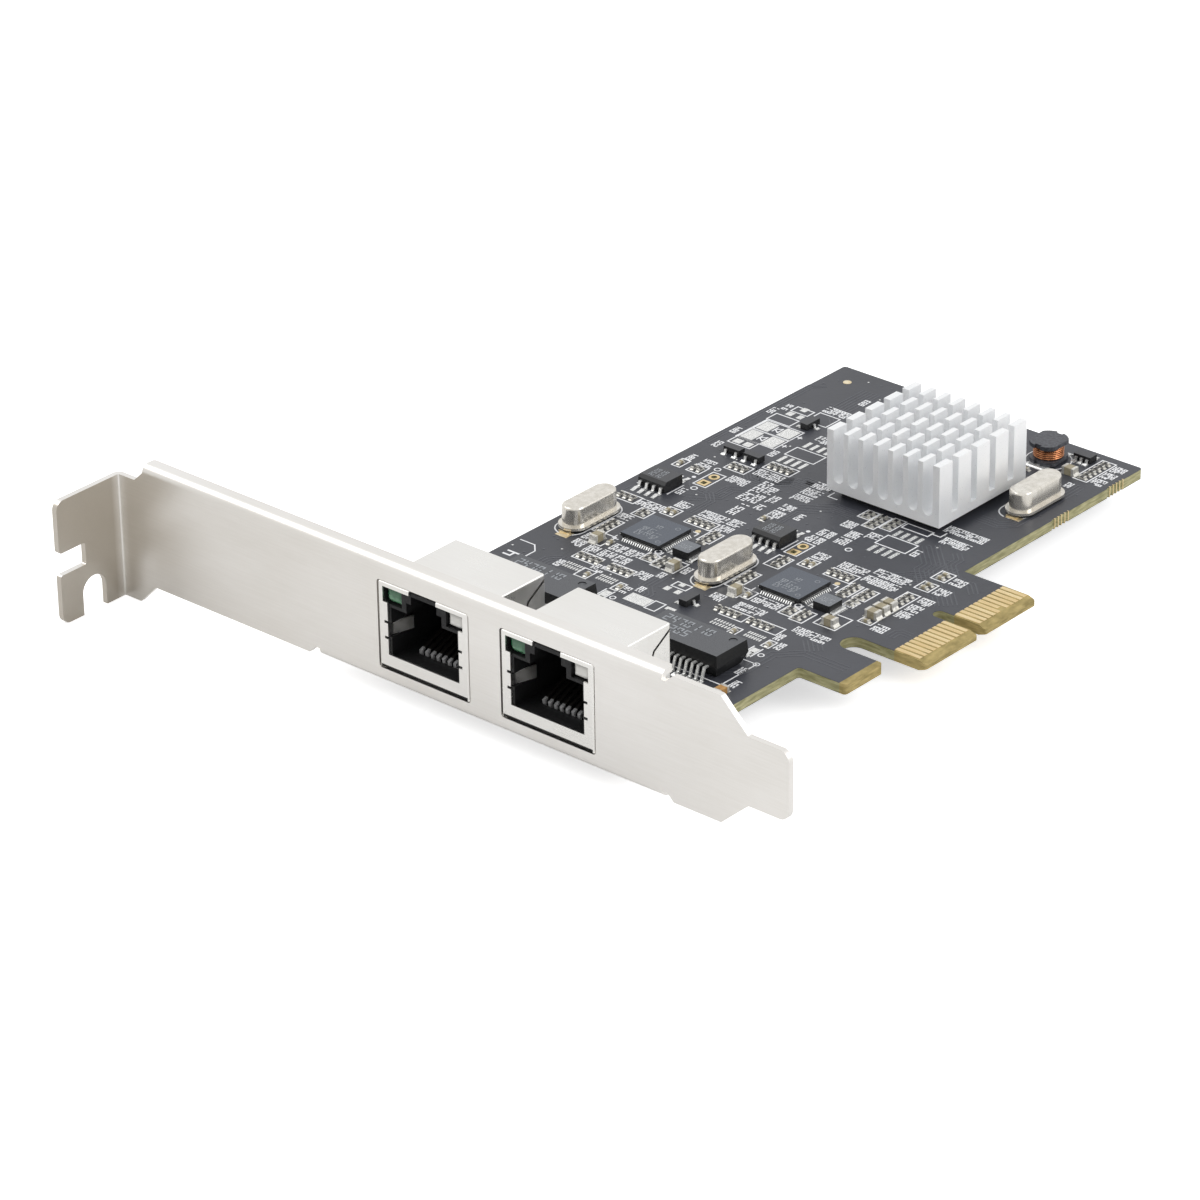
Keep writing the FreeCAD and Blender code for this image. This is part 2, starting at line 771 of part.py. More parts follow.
def module_slab(centre, low, low_inset, high, high_inset):
    """One drafted half of a moulded body."""
    x, y = centre
    wires = []
    for level, inset in ((low, low_inset), (high, high_inset)):
        half_x = module_length / 2 - inset
        half_y = module_width / 2 - inset
        outline = rectangle(x - half_x, x + half_x, y - half_y, y + half_y)
        wires.append(rounded_wire(outline, "XY", board_top + level))
    return Part.makeLoft(wires, True, True)


def transformer_body(centre):
    """Two drafted halves, the lower one drawn in under the pins, and a dimple at the first pin."""
    lower = module_slab(centre, module_standoff, module_undercut, module_parting, 0)
    upper = module_slab(centre, module_parting, 0, module_height, module_draft)
    x, y = centre
    body = joined([lower, upper])
    return [body.cut(drill(2 * dimple_radius, x + module_length / 2 - dimple_inset,
                           y + module_width / 2 - dimple_inset,
                           board_top + module_height - dimple_depth, board_top + module_height + 1))]


def gull_wing(edge, exit_height, reach, foot, width, thick, along):
    """Pin that leaves a body at y = edge towards -Y, bends down and ends in a flat foot."""
    level = board_top + thick / 2
    path = [(edge, board_top + exit_height), (edge - (reach - foot) * pin_shoulder, board_top + exit_height),
            (edge - (reach - foot), level), (edge - reach, level)]
    return prism(strip_outline(path, thick), "YZ", along - width / 2, along + width / 2)


def two_rows(x, y, half_width, count, pitch, build):
    """Row of pins on the -Y side and the same row turned half round for the +Y side."""
    pins = []
    for turn in (0, 180):
        for index in range(count):
            along = x + (index - (count - 1) / 2) * pitch
            pins.append(turned(build(y - half_width, along), x, y, turn))
    return pins


def transformer_pins(centre):
    x, y = centre

    def pin(edge, along):
        return gull_wing(edge, module_parting, module_pin_reach, module_foot,
                         module_pin_width, module_pin_thick, along)
    return two_rows(x, y, module_width / 2, module_pins, module_pin_pitch, pin)


def switch_chip():
    x, y = switch_centre
    half = switch_size / 2
    return [box(x - half, x + half, y - half, y + half, board_top, board_top + switch_height)]


def thermal_pad():
    x, y = switch_centre
    half = switch_size / 2 - pad_inset
    return [box(x - half, x + half, y - half, y + half, board_top + switch_height, sink_bottom)]


def heat_sink():
    """Pin-fin block: round-bottomed slots one way, then square cuts across them."""
    x, y = switch_centre
    half = sink_size / 2
    top = sink_bottom + sink_height
    floor = sink_bottom + sink_base
    profile = [(x - half, sink_bottom, 0), (x + half, sink_bottom, 0), (x + half, top, 0)]
    for index in range(sink_slots):
        middle = x + ((sink_slots - 1) / 2 - index) * sink_slot_pitch
        left = middle - sink_slot_width / 2
        right = middle + sink_slot_width / 2
        radius = sink_slot_width / 2
        profile += [(right, top, 0), (right, floor, radius), (left, floor, radius), (left, top, 0)]
    profile.append((x - half, top, 0))
    block = prism(profile, "XZ", y - half, y + half)
    pin = (sink_size - sink_cross_cuts * sink_cross_width) / (sink_cross_cuts + 1)
    cuts = []
    for index in range(sink_cross_cuts):
        start = y - half + pin + index * (pin + sink_cross_width)
        cuts.append(box(x - half - 1, x + half + 1, start, start + sink_cross_width, floor, top + 1))
    return [block.cut(cuts)]


def network_chip(centre):
    x, y = centre
    half = network_chip_size / 2
    bottom = board_top + terminal_height
    upper = box(x - half, x + half, y - half, y + half, bottom, board_top + network_chip_height)
    inner = half - terminal_width
    lower = box(x - inner, x + inner, y - inner, y + inner, board_top, bottom)
    return [joined([upper, lower])]


def network_chip_terminals(centre):
    """Tinned terminals that run in under the four edges of the chip."""
    x, y = centre
    half = network_chip_size / 2
    terminals = []
    for turn in range(4):
        for index in range(terminals_per_side):
            along = x + (index - (terminals_per_side - 1) / 2) * terminal_pitch
            block = box(along - terminal_width / 2, along + terminal_width / 2,
                        y - half - terminal_reach, y - half + terminal_width,
                        board_top, board_top + terminal_height)
            terminals.append(turned(block, x, y, 90 * turn))
    return terminals


def memory_chips():
    bodies = []
    for x, y in memory_centres:
        low = board_top + memory_standoff
        high = board_top + memory_height
        half = memory_width / 2
        outline = [(y - half, low, 0), (y + half, low, 0), (y + half, high, 0),
                   (y - half + memory_bevel, high, 0), (y - half, high - memory_bevel, 0)]
        bodies.append(prism(outline, "YZ", x - memory_length / 2, x + memory_length / 2))
    return bodies


def memory_chip_leads():
    leads = []
    exit_height = (memory_height + memory_standoff) / 2 - memory_bevel / 3

    def lead(edge, along):
        return gull_wing(edge, exit_height, memory_pin_reach, memory_foot,
                         memory_pin_width, memory_pin_thick, along)
    for x, y in memory_centres:
        leads += two_rows(x, y, memory_width / 2, memory_pins, memory_pitch, lead)
    return leads


def crystal_bases():
    """Moulded plates under the cans, with a channel below for each lead."""
    bases = []
    for centre in crystal_centres:
        x, y = centre
        base = prism(obround(centre, crystal_base_length, crystal_base_width), "XY",
                     board_top, board_top + crystal_base_height)
        for side in (-1, 1):
            low, high = lead_span(y, side)
            base = base.cut(box(x - crystal_lead_width / 2, x + crystal_lead_width / 2, low, high,
                                board_top, board_top + crystal_lead_thick))
        bases.append(base)
    return bases


def lead_span(middle, side):
    """Start and end along Y of a crystal lead, in rising order."""
    start = crystal_base_length / 2 - crystal_lead_width
    return sorted((middle + side * start, middle + side * crystal_lead_reach))


def crystal_cans():
    """Drawn cans with a rim below and a rounded crown."""
    cans = []
    for centre in crystal_centres:
        low = board_top + crystal_base_height
        rim = prism(obround(centre, crystal_rim_length, crystal_rim_width), "XY",
                    low, low + crystal_rim_height)
        top = board_top + crystal_can_height
        can = prism(obround(centre, crystal_can_length, crystal_can_width), "XY", low, top)
        crown = [edge for edge in can.Edges if edge.BoundBox.ZMin > top - edge_match]
        cans.append(joined([rim, can.makeFillet(crystal_can_round, crown)]))
    return cans


def crystal_leads():
    """Flat gold feet that come out of both ends of each crystal's base."""
    leads = []
    for x, y in crystal_centres:
        for side in (-1, 1):
            low, high = lead_span(y, side)
            leads.append(box(x - crystal_lead_width / 2, x + crystal_lead_width / 2, low, high,
                             board_top, board_top + crystal_lead_thick))
    return leads


def drum_inductor_core():
    """Ferrite drum: two flanges with flats and wire notches, on a narrower post."""
    x, y = drum_centre
    low = board_top + drum_pad_thick
    high = board_top + drum_height
    outer = drum_diameter / 2
    half = drum_flat / 2
    flanges = []
    for level in (low, high - drum_flange):
        disc = drill(drum_diameter, x, y, level, level + drum_flange)
        disc = disc.common(box(x - half, x + half, y - outer, y + outer, level, level + drum_flange))
        for side in (-1, 1):
            edge = y + side * outer
            disc = disc.cut(box(x - drum_notch / 2, x + drum_notch / 2, edge - drum_notch_depth,
                                edge + drum_notch_depth, level, level + drum_flange))
        flanges.append(disc)
    return [joined([drill(drum_post, x, y, low, high)] + flanges)]


def drum_inductor_winding():
    x, y = drum_centre
    low = board_top + drum_pad_thick + drum_flange + winding_fit
    high = board_top + drum_height - drum_flange - winding_fit
    ring = drill(winding_diameter, x, y, low, high)
    ring = ring.makeFillet((high - low) / 3, [edge for edge in ring.Edges if len(edge.Vertexes) == 1])
    return [ring.cut(drill(drum_post + 2 * winding_fit, x, y, low - 1, high + 1))]


def drum_inductor_terminals():
    """Two tinned feet under the drum."""
    x, y = drum_centre
    feet = []
    for side in (-1, 1):
        outer = drum_diameter / 2 + drum_pad_reach
        low, high = sorted((y + side * outer, y + side * (outer - drum_pad_length)))
        feet.append(box(x - drum_pad_width / 2, x + drum_pad_width / 2, low, high,
                        board_top, board_top + drum_pad_thick))
    return feet


def shielded_inductors():
    bodies = []
    for x, y in choke_centres:
        half = choke_size / 2
        body = prism(rectangle(x - half, x + half, y - half, y + half, choke_corner), "XY",
                     board_top, board_top + choke_height)
        for side in (-1, 1):
            edge = x + side * half
            body = body.cut(box(edge - choke_terminal_reach, edge + choke_terminal_reach,
                                y - half + choke_terminal_inset, y + half - choke_terminal_inset,
                                board_top, board_top + choke_terminal_height))
        bodies.append(body)
    return bodies


def shielded_inductor_terminals():
    feet = []
    for x, y in choke_centres:
        half = choke_size / 2
        for side in (-1, 1):
            edge = x + side * half
            feet.append(box(edge - choke_terminal_reach, edge + choke_terminal_reach,
                            y - half + choke_terminal_inset, y + half - choke_terminal_inset,
                            board_top, board_top + choke_terminal_height))
    return feet


def small_package(place, width):
    """Moulded body of a transistor or regulator, long along X before it is turned."""
    x, y, angle = place
    body = box(x - transistor_length / 2, x + transistor_length / 2, y - width / 2, y + width / 2,
               board_top + transistor_standoff, board_top + transistor_height)
    return turned(body, x, y, angle)


def transistor_bodies():
    bodies = [small_package(place, transistor_width) for place in transistor_places]
    bodies.append(small_package(regulator_place, regulator_width))
    return bodies


def small_lead(edge, along):
    exit_height = (transistor_height + transistor_standoff) / 2
    return gull_wing(edge, exit_height, transistor_pin_reach, transistor_foot,
                     transistor_pin_width, transistor_pin_thick, along)


def transistor_leads():
    leads = []
    for x, y, angle in transistor_places:
        edge = y - transistor_width / 2
        for along in (x - transistor_pitch, x + transistor_pitch):
            leads.append(turned(small_lead(edge, along), x, y, angle))
        leads.append(turned(small_lead(edge, x), x, y, angle + 180))
    x, y, angle = regulator_place
    leads += two_rows(x, y, regulator_width / 2, regulator_leads_per_side, transistor_pitch, small_lead)
    return leads


def chip_row(row, size=small_chip, pitch=small_pitch, shift=0.0):
    """Row of equal chips from a first centre. Chips in a row along Y lie along X and the other way round."""
    x, y, count, direction = row
    length, width, height = size
    chips = []
    for index in range(count):
        if direction == "Y":
            chips.append((x + shift, y + index * pitch, length / 2, width / 2))
        else:
            chips.append((x + shift + index * pitch, y, width / 2, length / 2))
    return [box(a - half_a, a + half_a, b - half_b, b + half_b, board_top, board_top + height)
            for a, b, half_a, half_b in chips]


def chip_capacitors():
    """Small beige capacitors close to the chips that they serve."""
    return sum([chip_row(row) for row in capacitor_rows], [])


def large_chip_capacitors():
    """Tall capacitors at the chokes and along the connector edge."""
    return sum([chip_row(row, large_chip, large_pitch) for row in large_capacitor_rows], [])


def chip_resistors():
    """Rows of small resistors. Those of the first channel stand again round the second one."""
    rows = [chip_row(row) for row in resistor_rows + doubled_resistor_rows]
    rows += [chip_row(row, shift=row_shift) for row in doubled_resistor_rows]
    return sum(rows, [])


def surge_suppressor():
    x, y = surge_centre
    return chip_row((x, y, 1, "X"), surge_chip)


def save(name, solids):
    """Write one node in the part's own frame."""
    shape = solids[0] if len(solids) == 1 else Part.makeCompound(solids)
    shape = shape.copy()
    shape.translate(origin.negative())
    for solid in shape.Solids:
        if not solid.isValid() or solid.Volume <= 0:
            print("check this solid:", name)
    shape.exportStep("parts/" + name + ".step")


def nodes():
    """Every node of the card, by the name that a person would use."""
    found = {
        "bracket": bracket(),
        "bracket_screws": bracket_screws(),
        "circuit_board": circuit_board(),
        "edge_contacts": edge_contacts(),
        "switch_chip": switch_chip(),
        "thermal_pad": thermal_pad(),
        "heat_sink": heat_sink(),
        "memory_chips": memory_chips(),
        "memory_chip_leads": memory_chip_leads(),
        "crystal_bases": crystal_bases(),
        "crystal_cans": crystal_cans(),
        "crystal_leads": crystal_leads(),
        "drum_inductor_core": drum_inductor_core(),
        "drum_inductor_winding": drum_inductor_winding(),
        "drum_inductor_terminals": drum_inductor_terminals(),
        "shielded_inductors": shielded_inductors(),
        "shielded_inductor_terminals": shielded_inductor_terminals(),
        "transistor_bodies": transistor_bodies(),
        "transistor_leads": transistor_leads(),
        "chip_capacitors": chip_capacitors(),
        "large_chip_capacitors": large_chip_capacitors(),
        "chip_resistors": chip_resistors(),
        "surge_suppressor": surge_suppressor()}
    for number, jack in enumerate(jack_centres, start=1):
        found["jack_%d_shield" % number] = jack_shield(jack)
        found["jack_%d_housing" % number] = jack_housing(jack)
        found["jack_%d_contacts" % number] = jack_contacts(jack)
        found["jack_%d_green_light" % number] = jack_light(jack, -1)
        found["jack_%d_clear_light" % number] = jack_light(jack, 1)
    for number, centre in enumerate(module_centres, start=1):
        found["transformer_%d_body" % number] = transformer_body(centre)
        found["transformer_%d_pins" % number] = transformer_pins(centre)
    for number, centre in enumerate(network_chip_centres, start=1):
        found["network_chip_%d" % number] = network_chip(centre)
        found["network_chip_%d_terminals" % number] = network_chip_terminals(centre)
    return found


for node, node_solids in nodes().items():
    save(node, node_solids)
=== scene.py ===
import math
import random

import bmesh
import bpy
from mathutils import Matrix, Vector


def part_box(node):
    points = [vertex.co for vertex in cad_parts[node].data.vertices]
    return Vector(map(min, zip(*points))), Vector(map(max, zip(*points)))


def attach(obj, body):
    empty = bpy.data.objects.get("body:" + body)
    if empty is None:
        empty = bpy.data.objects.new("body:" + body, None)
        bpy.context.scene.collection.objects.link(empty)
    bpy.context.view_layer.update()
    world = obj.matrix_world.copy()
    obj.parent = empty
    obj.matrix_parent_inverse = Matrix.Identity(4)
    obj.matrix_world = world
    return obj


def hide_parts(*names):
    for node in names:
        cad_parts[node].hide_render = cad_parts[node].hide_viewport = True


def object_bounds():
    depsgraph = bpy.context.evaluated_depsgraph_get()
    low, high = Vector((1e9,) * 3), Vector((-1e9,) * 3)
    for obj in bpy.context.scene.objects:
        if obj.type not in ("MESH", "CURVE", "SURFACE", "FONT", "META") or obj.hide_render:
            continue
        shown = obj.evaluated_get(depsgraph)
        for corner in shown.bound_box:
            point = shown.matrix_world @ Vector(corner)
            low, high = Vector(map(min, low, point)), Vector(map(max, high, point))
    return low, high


bl_info = {
    "name": "Network interface card",
    "version": (1, 0, 0),
    "blender": (4, 5, 0),
    "location": "View3D > Sidebar > Network card",
    "description": "Finishes, solder, printing and studio of a network interface card",
    "category": "Object",
}

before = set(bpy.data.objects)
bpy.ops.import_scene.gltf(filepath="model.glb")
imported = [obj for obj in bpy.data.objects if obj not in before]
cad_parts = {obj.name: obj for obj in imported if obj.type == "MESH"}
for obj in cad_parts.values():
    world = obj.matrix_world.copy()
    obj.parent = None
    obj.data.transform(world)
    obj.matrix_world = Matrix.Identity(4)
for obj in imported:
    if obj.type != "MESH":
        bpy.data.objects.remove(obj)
CAD_LOW, CAD_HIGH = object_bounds()

# Places on the card are given in millimetres: x along the bracket from its screw tab,
# y in from the bracket's front face, z up from the board's upper face.
MM = 0.001
TAB_REACH = 11.90
BOARD_BOTTOM, BOARD_TOP = (corner[2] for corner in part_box("circuit_board"))
START = Vector((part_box("bracket")[0][0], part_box("bracket")[0][1] + TAB_REACH * MM, BOARD_TOP))


def spot(x, y, z=0.0):
    """A place on the card in metres."""
    return START + Vector((x, y, z)) * MM


def card_mm(point):
    """A place in metres as card millimetres."""
    return (Vector(point) - START) / MM


def colour(code):
    """sRGB hex to the linear values that a shader takes."""
    parts = [int(code[i:i + 2], 16) / 255 for i in (1, 3, 5)]
    return [c / 12.92 if c <= 0.04045 else ((c + 0.055) / 1.055) ** 2.4 for c in parts] + [1.0]


def fill(tree, node, inputs):
    """Set or link a node's inputs, named or in the order of its sockets. A hex code stands for a colour."""
    for socket, value in inputs.items() if isinstance(inputs, dict) else enumerate(inputs):
        if isinstance(value, bpy.types.NodeSocket):
            tree.links.new(value, node.inputs[socket])
        else:
            node.inputs[socket].default_value = colour(value) if isinstance(value, str) else value


def add_node(tree, kind, inputs=(), **settings):
    """Add a node with its settings and links, and return its outputs."""
    node = tree.nodes.new("ShaderNode" + kind)
    for key, value in settings.items():
        setattr(node, key, value)
    fill(tree, node, inputs)
    return node.outputs


# The sockets of a Mix node that mixes two colours, and its output for them.
SHARE, UNDER, OVER, MIXED = 0, 6, 7, 2

# Noise keeps mostly between these values, and fine patterns use the steeper middle of it.
NOISE = (0.3, 0.7)
FINE_NOISE = (0.35, 0.65)

# Places where a finish changes, in card millimetres: the solder mask's edge beside the contacts, the mask's
# film, the foot of the resistors' glaze above the board, the plated bend of the jacks' wires past their low
# end, beyond which the wires are painted near black as shade, and the foot and top of the light pipes above
# the board.
MASK_END = 99.9
FILM = 0.06
GLAZE_FOOT = 0.30
PLATED_BEND = (0.45, 0.75)
LENS_RISE = (9.8, 12.1)

# How far a normal leans to a side before its face counts as facing that side.
FACING = 0.7
FACING_UP = 0.8


def begin(name, roughness=0.5, metallic=0.0, **sockets):
    """Start a material and return it with its tree, its shader and its place on the piece."""
    material = bpy.data.materials.new(name)
    material.use_nodes = True
    tree = material.node_tree
    shader = tree.nodes["Principled BSDF"]
    fill(tree, shader, {"Roughness": roughness, "Metallic": metallic})
    fill(tree, shader, {socket.replace("_", " "): value for socket, value in sockets.items()})
    return material, tree, shader, add_node(tree, "TexCoord")["Object"]


def patches(tree, place, size_mm, stretch=(1, 1, 1), detail=3.0, rough=0.55):
    """Noise with patches of a real size, drawn out along an axis where stretch is under 1."""
    mapped = add_node(tree, "Mapping", {"Vector": place, "Scale": stretch})[0]
    return add_node(tree, "TexNoise", {"Vector": mapped, "Scale": 1 / (size_mm * MM), "Detail": detail,
                                       "Roughness": rough})[0]


def grained(name, light, dark, patch_mm, roughness, grain_mm, grain_depth_mm, metallic=0.0,
            stretch=(1, 1, 1), **sockets):
    """Material with colour and gloss that vary in patches, and a fine grain in relief."""
    material, tree, shader, place = begin(name, sum(roughness) / 2, metallic, **sockets)
    hue = add_node(tree, "MapRange", (patches(tree, place, patch_mm, stretch), *NOISE, 0, 1))[0]
    gloss = patches(tree, place, patch_mm * 0.4, stretch)
    grain = patches(tree, place, grain_mm, stretch, 2.0)
    fill(tree, shader, {
        "Base Color": add_node(tree, "Mix", {SHARE: hue, UNDER: dark, OVER: light},
                               data_type="RGBA")[MIXED],
        "Roughness": add_node(tree, "MapRange", (gloss, *NOISE, *roughness))[0],
        "Normal": add_node(tree, "Bump", {"Height": grain, "Distance": grain_depth_mm * MM,
                                          "Strength": 1.0})[0]})
    return material


def solder_mask():
    """Dark grey solder mask on glass epoxy: a satin film on both faces, and on the cut edges the bare
    laminate, which is olive yellow with fine lines of glass cloth. Past the mask's edge the laminate
    between the contacts is tan."""
    material, tree, shader, place = begin("solder_mask_on_glass_epoxy", 0.42, IOR=1.5)
    apart = add_node(tree, "SeparateXYZ", (place,))
    top = add_node(tree, "Math", (apart["Z"], BOARD_TOP - FILM * MM), operation="GREATER_THAN")[0]
    bottom = add_node(tree, "Math", (apart["Z"], BOARD_BOTTOM + FILM * MM), operation="LESS_THAN")[0]
    inside = add_node(tree, "Math", (apart["X"], spot(MASK_END, 0)[0]), operation="LESS_THAN")[0]
    faces = add_node(tree, "Math", (top, bottom), operation="MAXIMUM")[0]
    masked = add_node(tree, "Math", (faces, inside), operation="MULTIPLY")[0]
    cloud = add_node(tree, "MapRange", (patches(tree, place, 14.0), *NOISE, 0, 1))[0]
    threads = patches(tree, place, 0.35, (0.15, 0.15, 1))
    cloth = add_node(tree, "MapRange", (threads, *FINE_NOISE, 0, 1))[0]
    film, edge, tan = (
        add_node(tree, "Mix", {SHARE: share, UNDER: dark, OVER: light}, data_type="RGBA")[MIXED]
        for share, dark, light in ((cloud, "#393b41", "#42444b"), (cloth, "#86835c", "#b5b086"),
                                   (cloth, "#8f7f4c", "#bba76e")))
    laminate = add_node(tree, "Mix", {SHARE: inside, UNDER: tan, OVER: edge}, data_type="RGBA")[MIXED]
    weave = patches(tree, place, 0.7, detail=1.0)
    fill(tree, shader, {
        "Base Color": add_node(tree, "Mix", {SHARE: masked, UNDER: laminate, OVER: film},
                               data_type="RGBA")[MIXED],
        "Roughness": add_node(tree, "MapRange", (masked, 0, 1, 0.68, 0.40))[0],
        "Normal": add_node(tree, "Bump", {"Height": weave, "Distance": 0.010 * MM, "Strength": 1.0})[0]})
    return material


def sheet_steel(name, light, dark, roughness):
    """Nickel plated steel sheet: rolled, so its fine grain runs along the bracket, with a soft satin
    gloss and faint clouds left by the plating bath. The front faces are painted darker as shade, most
    of all towards the screw tab, and the faces of the tab that don't face up are darker too."""
    material, tree, shader, place = begin(name, roughness, 1.0)
    cloud = patches(tree, place, 9.0, (0.5, 1, 1), 4.0)
    grain = patches(tree, place, 0.28, (0.04, 1, 1), 2.0)
    clouds = add_node(tree, "MapRange", (cloud, 0.25, 0.75, 0, 0.75))[0]
    lines = add_node(tree, "MapRange", (grain, *NOISE, 0, 0.25))[0]
    mixed = add_node(tree, "Math", (clouds, lines), operation="ADD")[0]
    where = add_node(tree, "SeparateXYZ", (place,))
    facing = add_node(tree, "SeparateXYZ", (add_node(tree, "NewGeometry")["Normal"],))
    # Painted shade: faces towards the front are mixed towards a grey brown, most near the screw tab, and
    # the tab's faces that don't face up are mixed towards it too.
    front = add_node(tree, "Math", (facing["Y"], -FACING), operation="LESS_THAN")[0]
    upright = add_node(tree, "Math", (facing["Z"], FACING), operation="LESS_THAN")[0]
    along = add_node(tree, "MapRange", (where["X"], spot(8, 0)[0], spot(60, 0)[0], 0.26, 0.07))[0]
    tab = add_node(tree, "MapRange", (where["Y"], spot(0, -1.5)[1], spot(0, 0)[1], 0.66, 0.0))[0]
    shaded_front_faces = add_node(tree, "Math", (front, along), operation="MULTIPLY")[0]
    darker_tab_sides = add_node(tree, "Math", (tab, upright), operation="MULTIPLY")[0]
    painted_shade_and_dark_tab = add_node(tree, "Math", (shaded_front_faces, darker_tab_sides), operation="MAXIMUM")[0]
    rolled = add_node(tree, "Mix", {SHARE: mixed, UNDER: dark, OVER: light}, data_type="RGBA")[MIXED]
    fill(tree, shader, {
        "Base Color": add_node(tree, "Mix", {SHARE: painted_shade_and_dark_tab, UNDER: rolled, OVER: "#a59b8a"},
                               data_type="RGBA")[MIXED],
        "Roughness": add_node(tree, "MapRange", (mixed, 0, 1, roughness + 0.06, roughness - 0.06))[0],
        "Normal": add_node(tree, "Bump", {"Height": grain, "Distance": 0.0025 * MM, "Strength": 1.0})[0]})
    return material


def milled_aluminium():
    """Natural aluminium, sawn and milled: bright, with close tool lines up the pins and a frosted,
    slightly cloudy surface on the block's flat sides."""
    material, tree, shader, place = begin("natural_milled_aluminium", 0.36, 0.30)
    lines = patches(tree, place, 0.30, (1, 1, 0.05), 2.0)
    frost = patches(tree, place, 0.22, detail=4.0, rough=0.7)
    clouds = add_node(tree, "MapRange", (patches(tree, place, 4.0), *NOISE, 0, 0.6))[0]
    specks = add_node(tree, "MapRange", (frost, *NOISE, 0, 0.4))[0]
    mixed = add_node(tree, "Math", (clouds, specks), operation="ADD")[0]
    tooled = add_node(tree, "Math", (lines, frost), operation="ADD")[0]
    fill(tree, shader, {
        "Base Color": add_node(tree, "Mix", {SHARE: mixed, UNDER: "#f4f6f8", OVER: "#ffffff"},
                               data_type="RGBA")[MIXED],
        "Roughness": add_node(tree, "MapRange", (frost, *NOISE, 0.26, 0.46))[0],
        "Normal": add_node(tree, "Bump", {"Height": tooled, "Distance": 0.020 * MM, "Strength": 1.0})[0]})
    return material


def drawn_can():
    """Nickel silver drawn over a punch: warm grey, with soft upright streaks on the sides where the
    die dragged, and small rubbed spots on the crown."""
    material, tree, shader, place = begin("drawn_nickel_silver", 0.30, 0.8)
    streak = patches(tree, place, 0.9, (1, 1, 0.08), 2.0)
    streaks = add_node(tree, "MapRange", (streak, *FINE_NOISE, 0, 0.8))[0]
    spots = add_node(tree, "MapRange", (patches(tree, place, 1.4), 0.4, 0.7, 0, 0.2))[0]
    dull = add_node(tree, "Math", (streaks, spots), operation="ADD")[0]
    fill(tree, shader, {
        "Base Color": add_node(tree, "Mix", {SHARE: dull, UNDER: "#e9e5dd", OVER: "#d6d1c7"},
                               data_type="RGBA")[MIXED],
        "Roughness": add_node(tree, "MapRange", (dull, 0, 1, 0.18, 0.26))[0]})
    return material


def moulded_epoxy(name, lit_top_colour, shaded_side_colour):
    """Epoxy moulding compound: near black and matt. Its top is painted paler as lit, and its sides darker
    as shaded.
    """
    material, tree, shader, place = begin(name, 0.5, IOR=1.5)
    facing = add_node(tree, "SeparateXYZ", (add_node(tree, "NewGeometry")["Normal"],))
    # Painted light and shade: faces that face up take the paler top colour, and the rest the dark side
    # colour.
    up = add_node(tree, "Math", (facing["Z"], FACING_UP), operation="GREATER_THAN")[0]
    grit = patches(tree, place, 0.16)
    specks = add_node(tree, "MapRange", (grit, *FINE_NOISE, 0, 0.3))[0]
    top = add_node(tree, "Mix", {SHARE: specks, UNDER: lit_top_colour, OVER: shaded_side_colour},
                   data_type="RGBA")[MIXED]
    fill(tree, shader, {
        "Base Color": add_node(tree, "Mix", {SHARE: up, UNDER: shaded_side_colour, OVER: top},
                               data_type="RGBA")[MIXED],
        "Normal": add_node(tree, "Bump", {"Height": grit, "Distance": 0.012 * MM, "Strength": 1.0})[0]})
    return material


def glazed_resistor():
    """Thick film resistor: a black glaze on a white alumina body, which shows along its sides."""
    material, tree, shader, place = begin("glazed_alumina", 0.28, IOR=1.55)
    height = add_node(tree, "SeparateXYZ", (place,))["Z"]
    glaze = add_node(tree, "Math", (height, BOARD_TOP + GLAZE_FOOT * MM), operation="GREATER_THAN")[0]
    dark = add_node(tree, "Mix", {SHARE: patches(tree, place, 0.3), UNDER: "#17171a", OVER: "#26262a"},
                    data_type="RGBA")[MIXED]
    fill(tree, shader, {"Base Color": add_node(tree, "Mix", {SHARE: glaze, UNDER: "#b9b7b0", OVER: dark},
                                               data_type="RGBA")[MIXED]})
    return material


def contact_wire():
    """Phosphor bronze wire: bright plated at the bend that meets a plug; further in it is dull bronze,
    painted near black as shade inside the housing.
    """
    material, tree, shader, place = begin("plated_spring_bronze", 0.25, 0.6)
    along = add_node(tree, "SeparateXYZ", (place,))["Y"]
    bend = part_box("jack_1_contacts")[0][1]
    # Partly painted shade: past the plated bend the wire darkens to near black, for the shade inside the
    # housing as well as its duller bronze.
    plated = add_node(tree, "MapRange", (along, *(bend + reach * MM for reach in PLATED_BEND), 1, 0))[0]
    fill(tree, shader, {
        "Base Color": add_node(tree, "Mix", {SHARE: plated, UNDER: "#1c1916", OVER: "#ffffff"},
                               data_type="RGBA")[MIXED],
        "Roughness": add_node(tree, "MapRange", (plated, 0, 1, 0.5, 0.2))[0]})
    return material


def tinted_lens(name, deep, pale, roughness):
    """Light pipe of clear or tinted moulding: smooth, paler at its foot where light gathers."""
    material, tree, shader, place = begin(name, roughness, IOR=1.5, Transmission_Weight=0.15,
                                          Coat_Weight=0.6, Coat_Roughness=0.08)
    height = add_node(tree, "SeparateXYZ", (place,))["Z"]
    rise = add_node(tree, "MapRange", (height, *(BOARD_TOP + level * MM for level in LENS_RISE), 0, 1))[0]
    depth = add_node(tree, "Math", (rise, patches(tree, place, 1.2)), operation="ADD")[0]
    fill(tree, shader, {"Base Color": add_node(tree, "Mix", {SHARE: depth, UNDER: pale, OVER: deep},
                                               data_type="RGBA")[MIXED]})
    return material


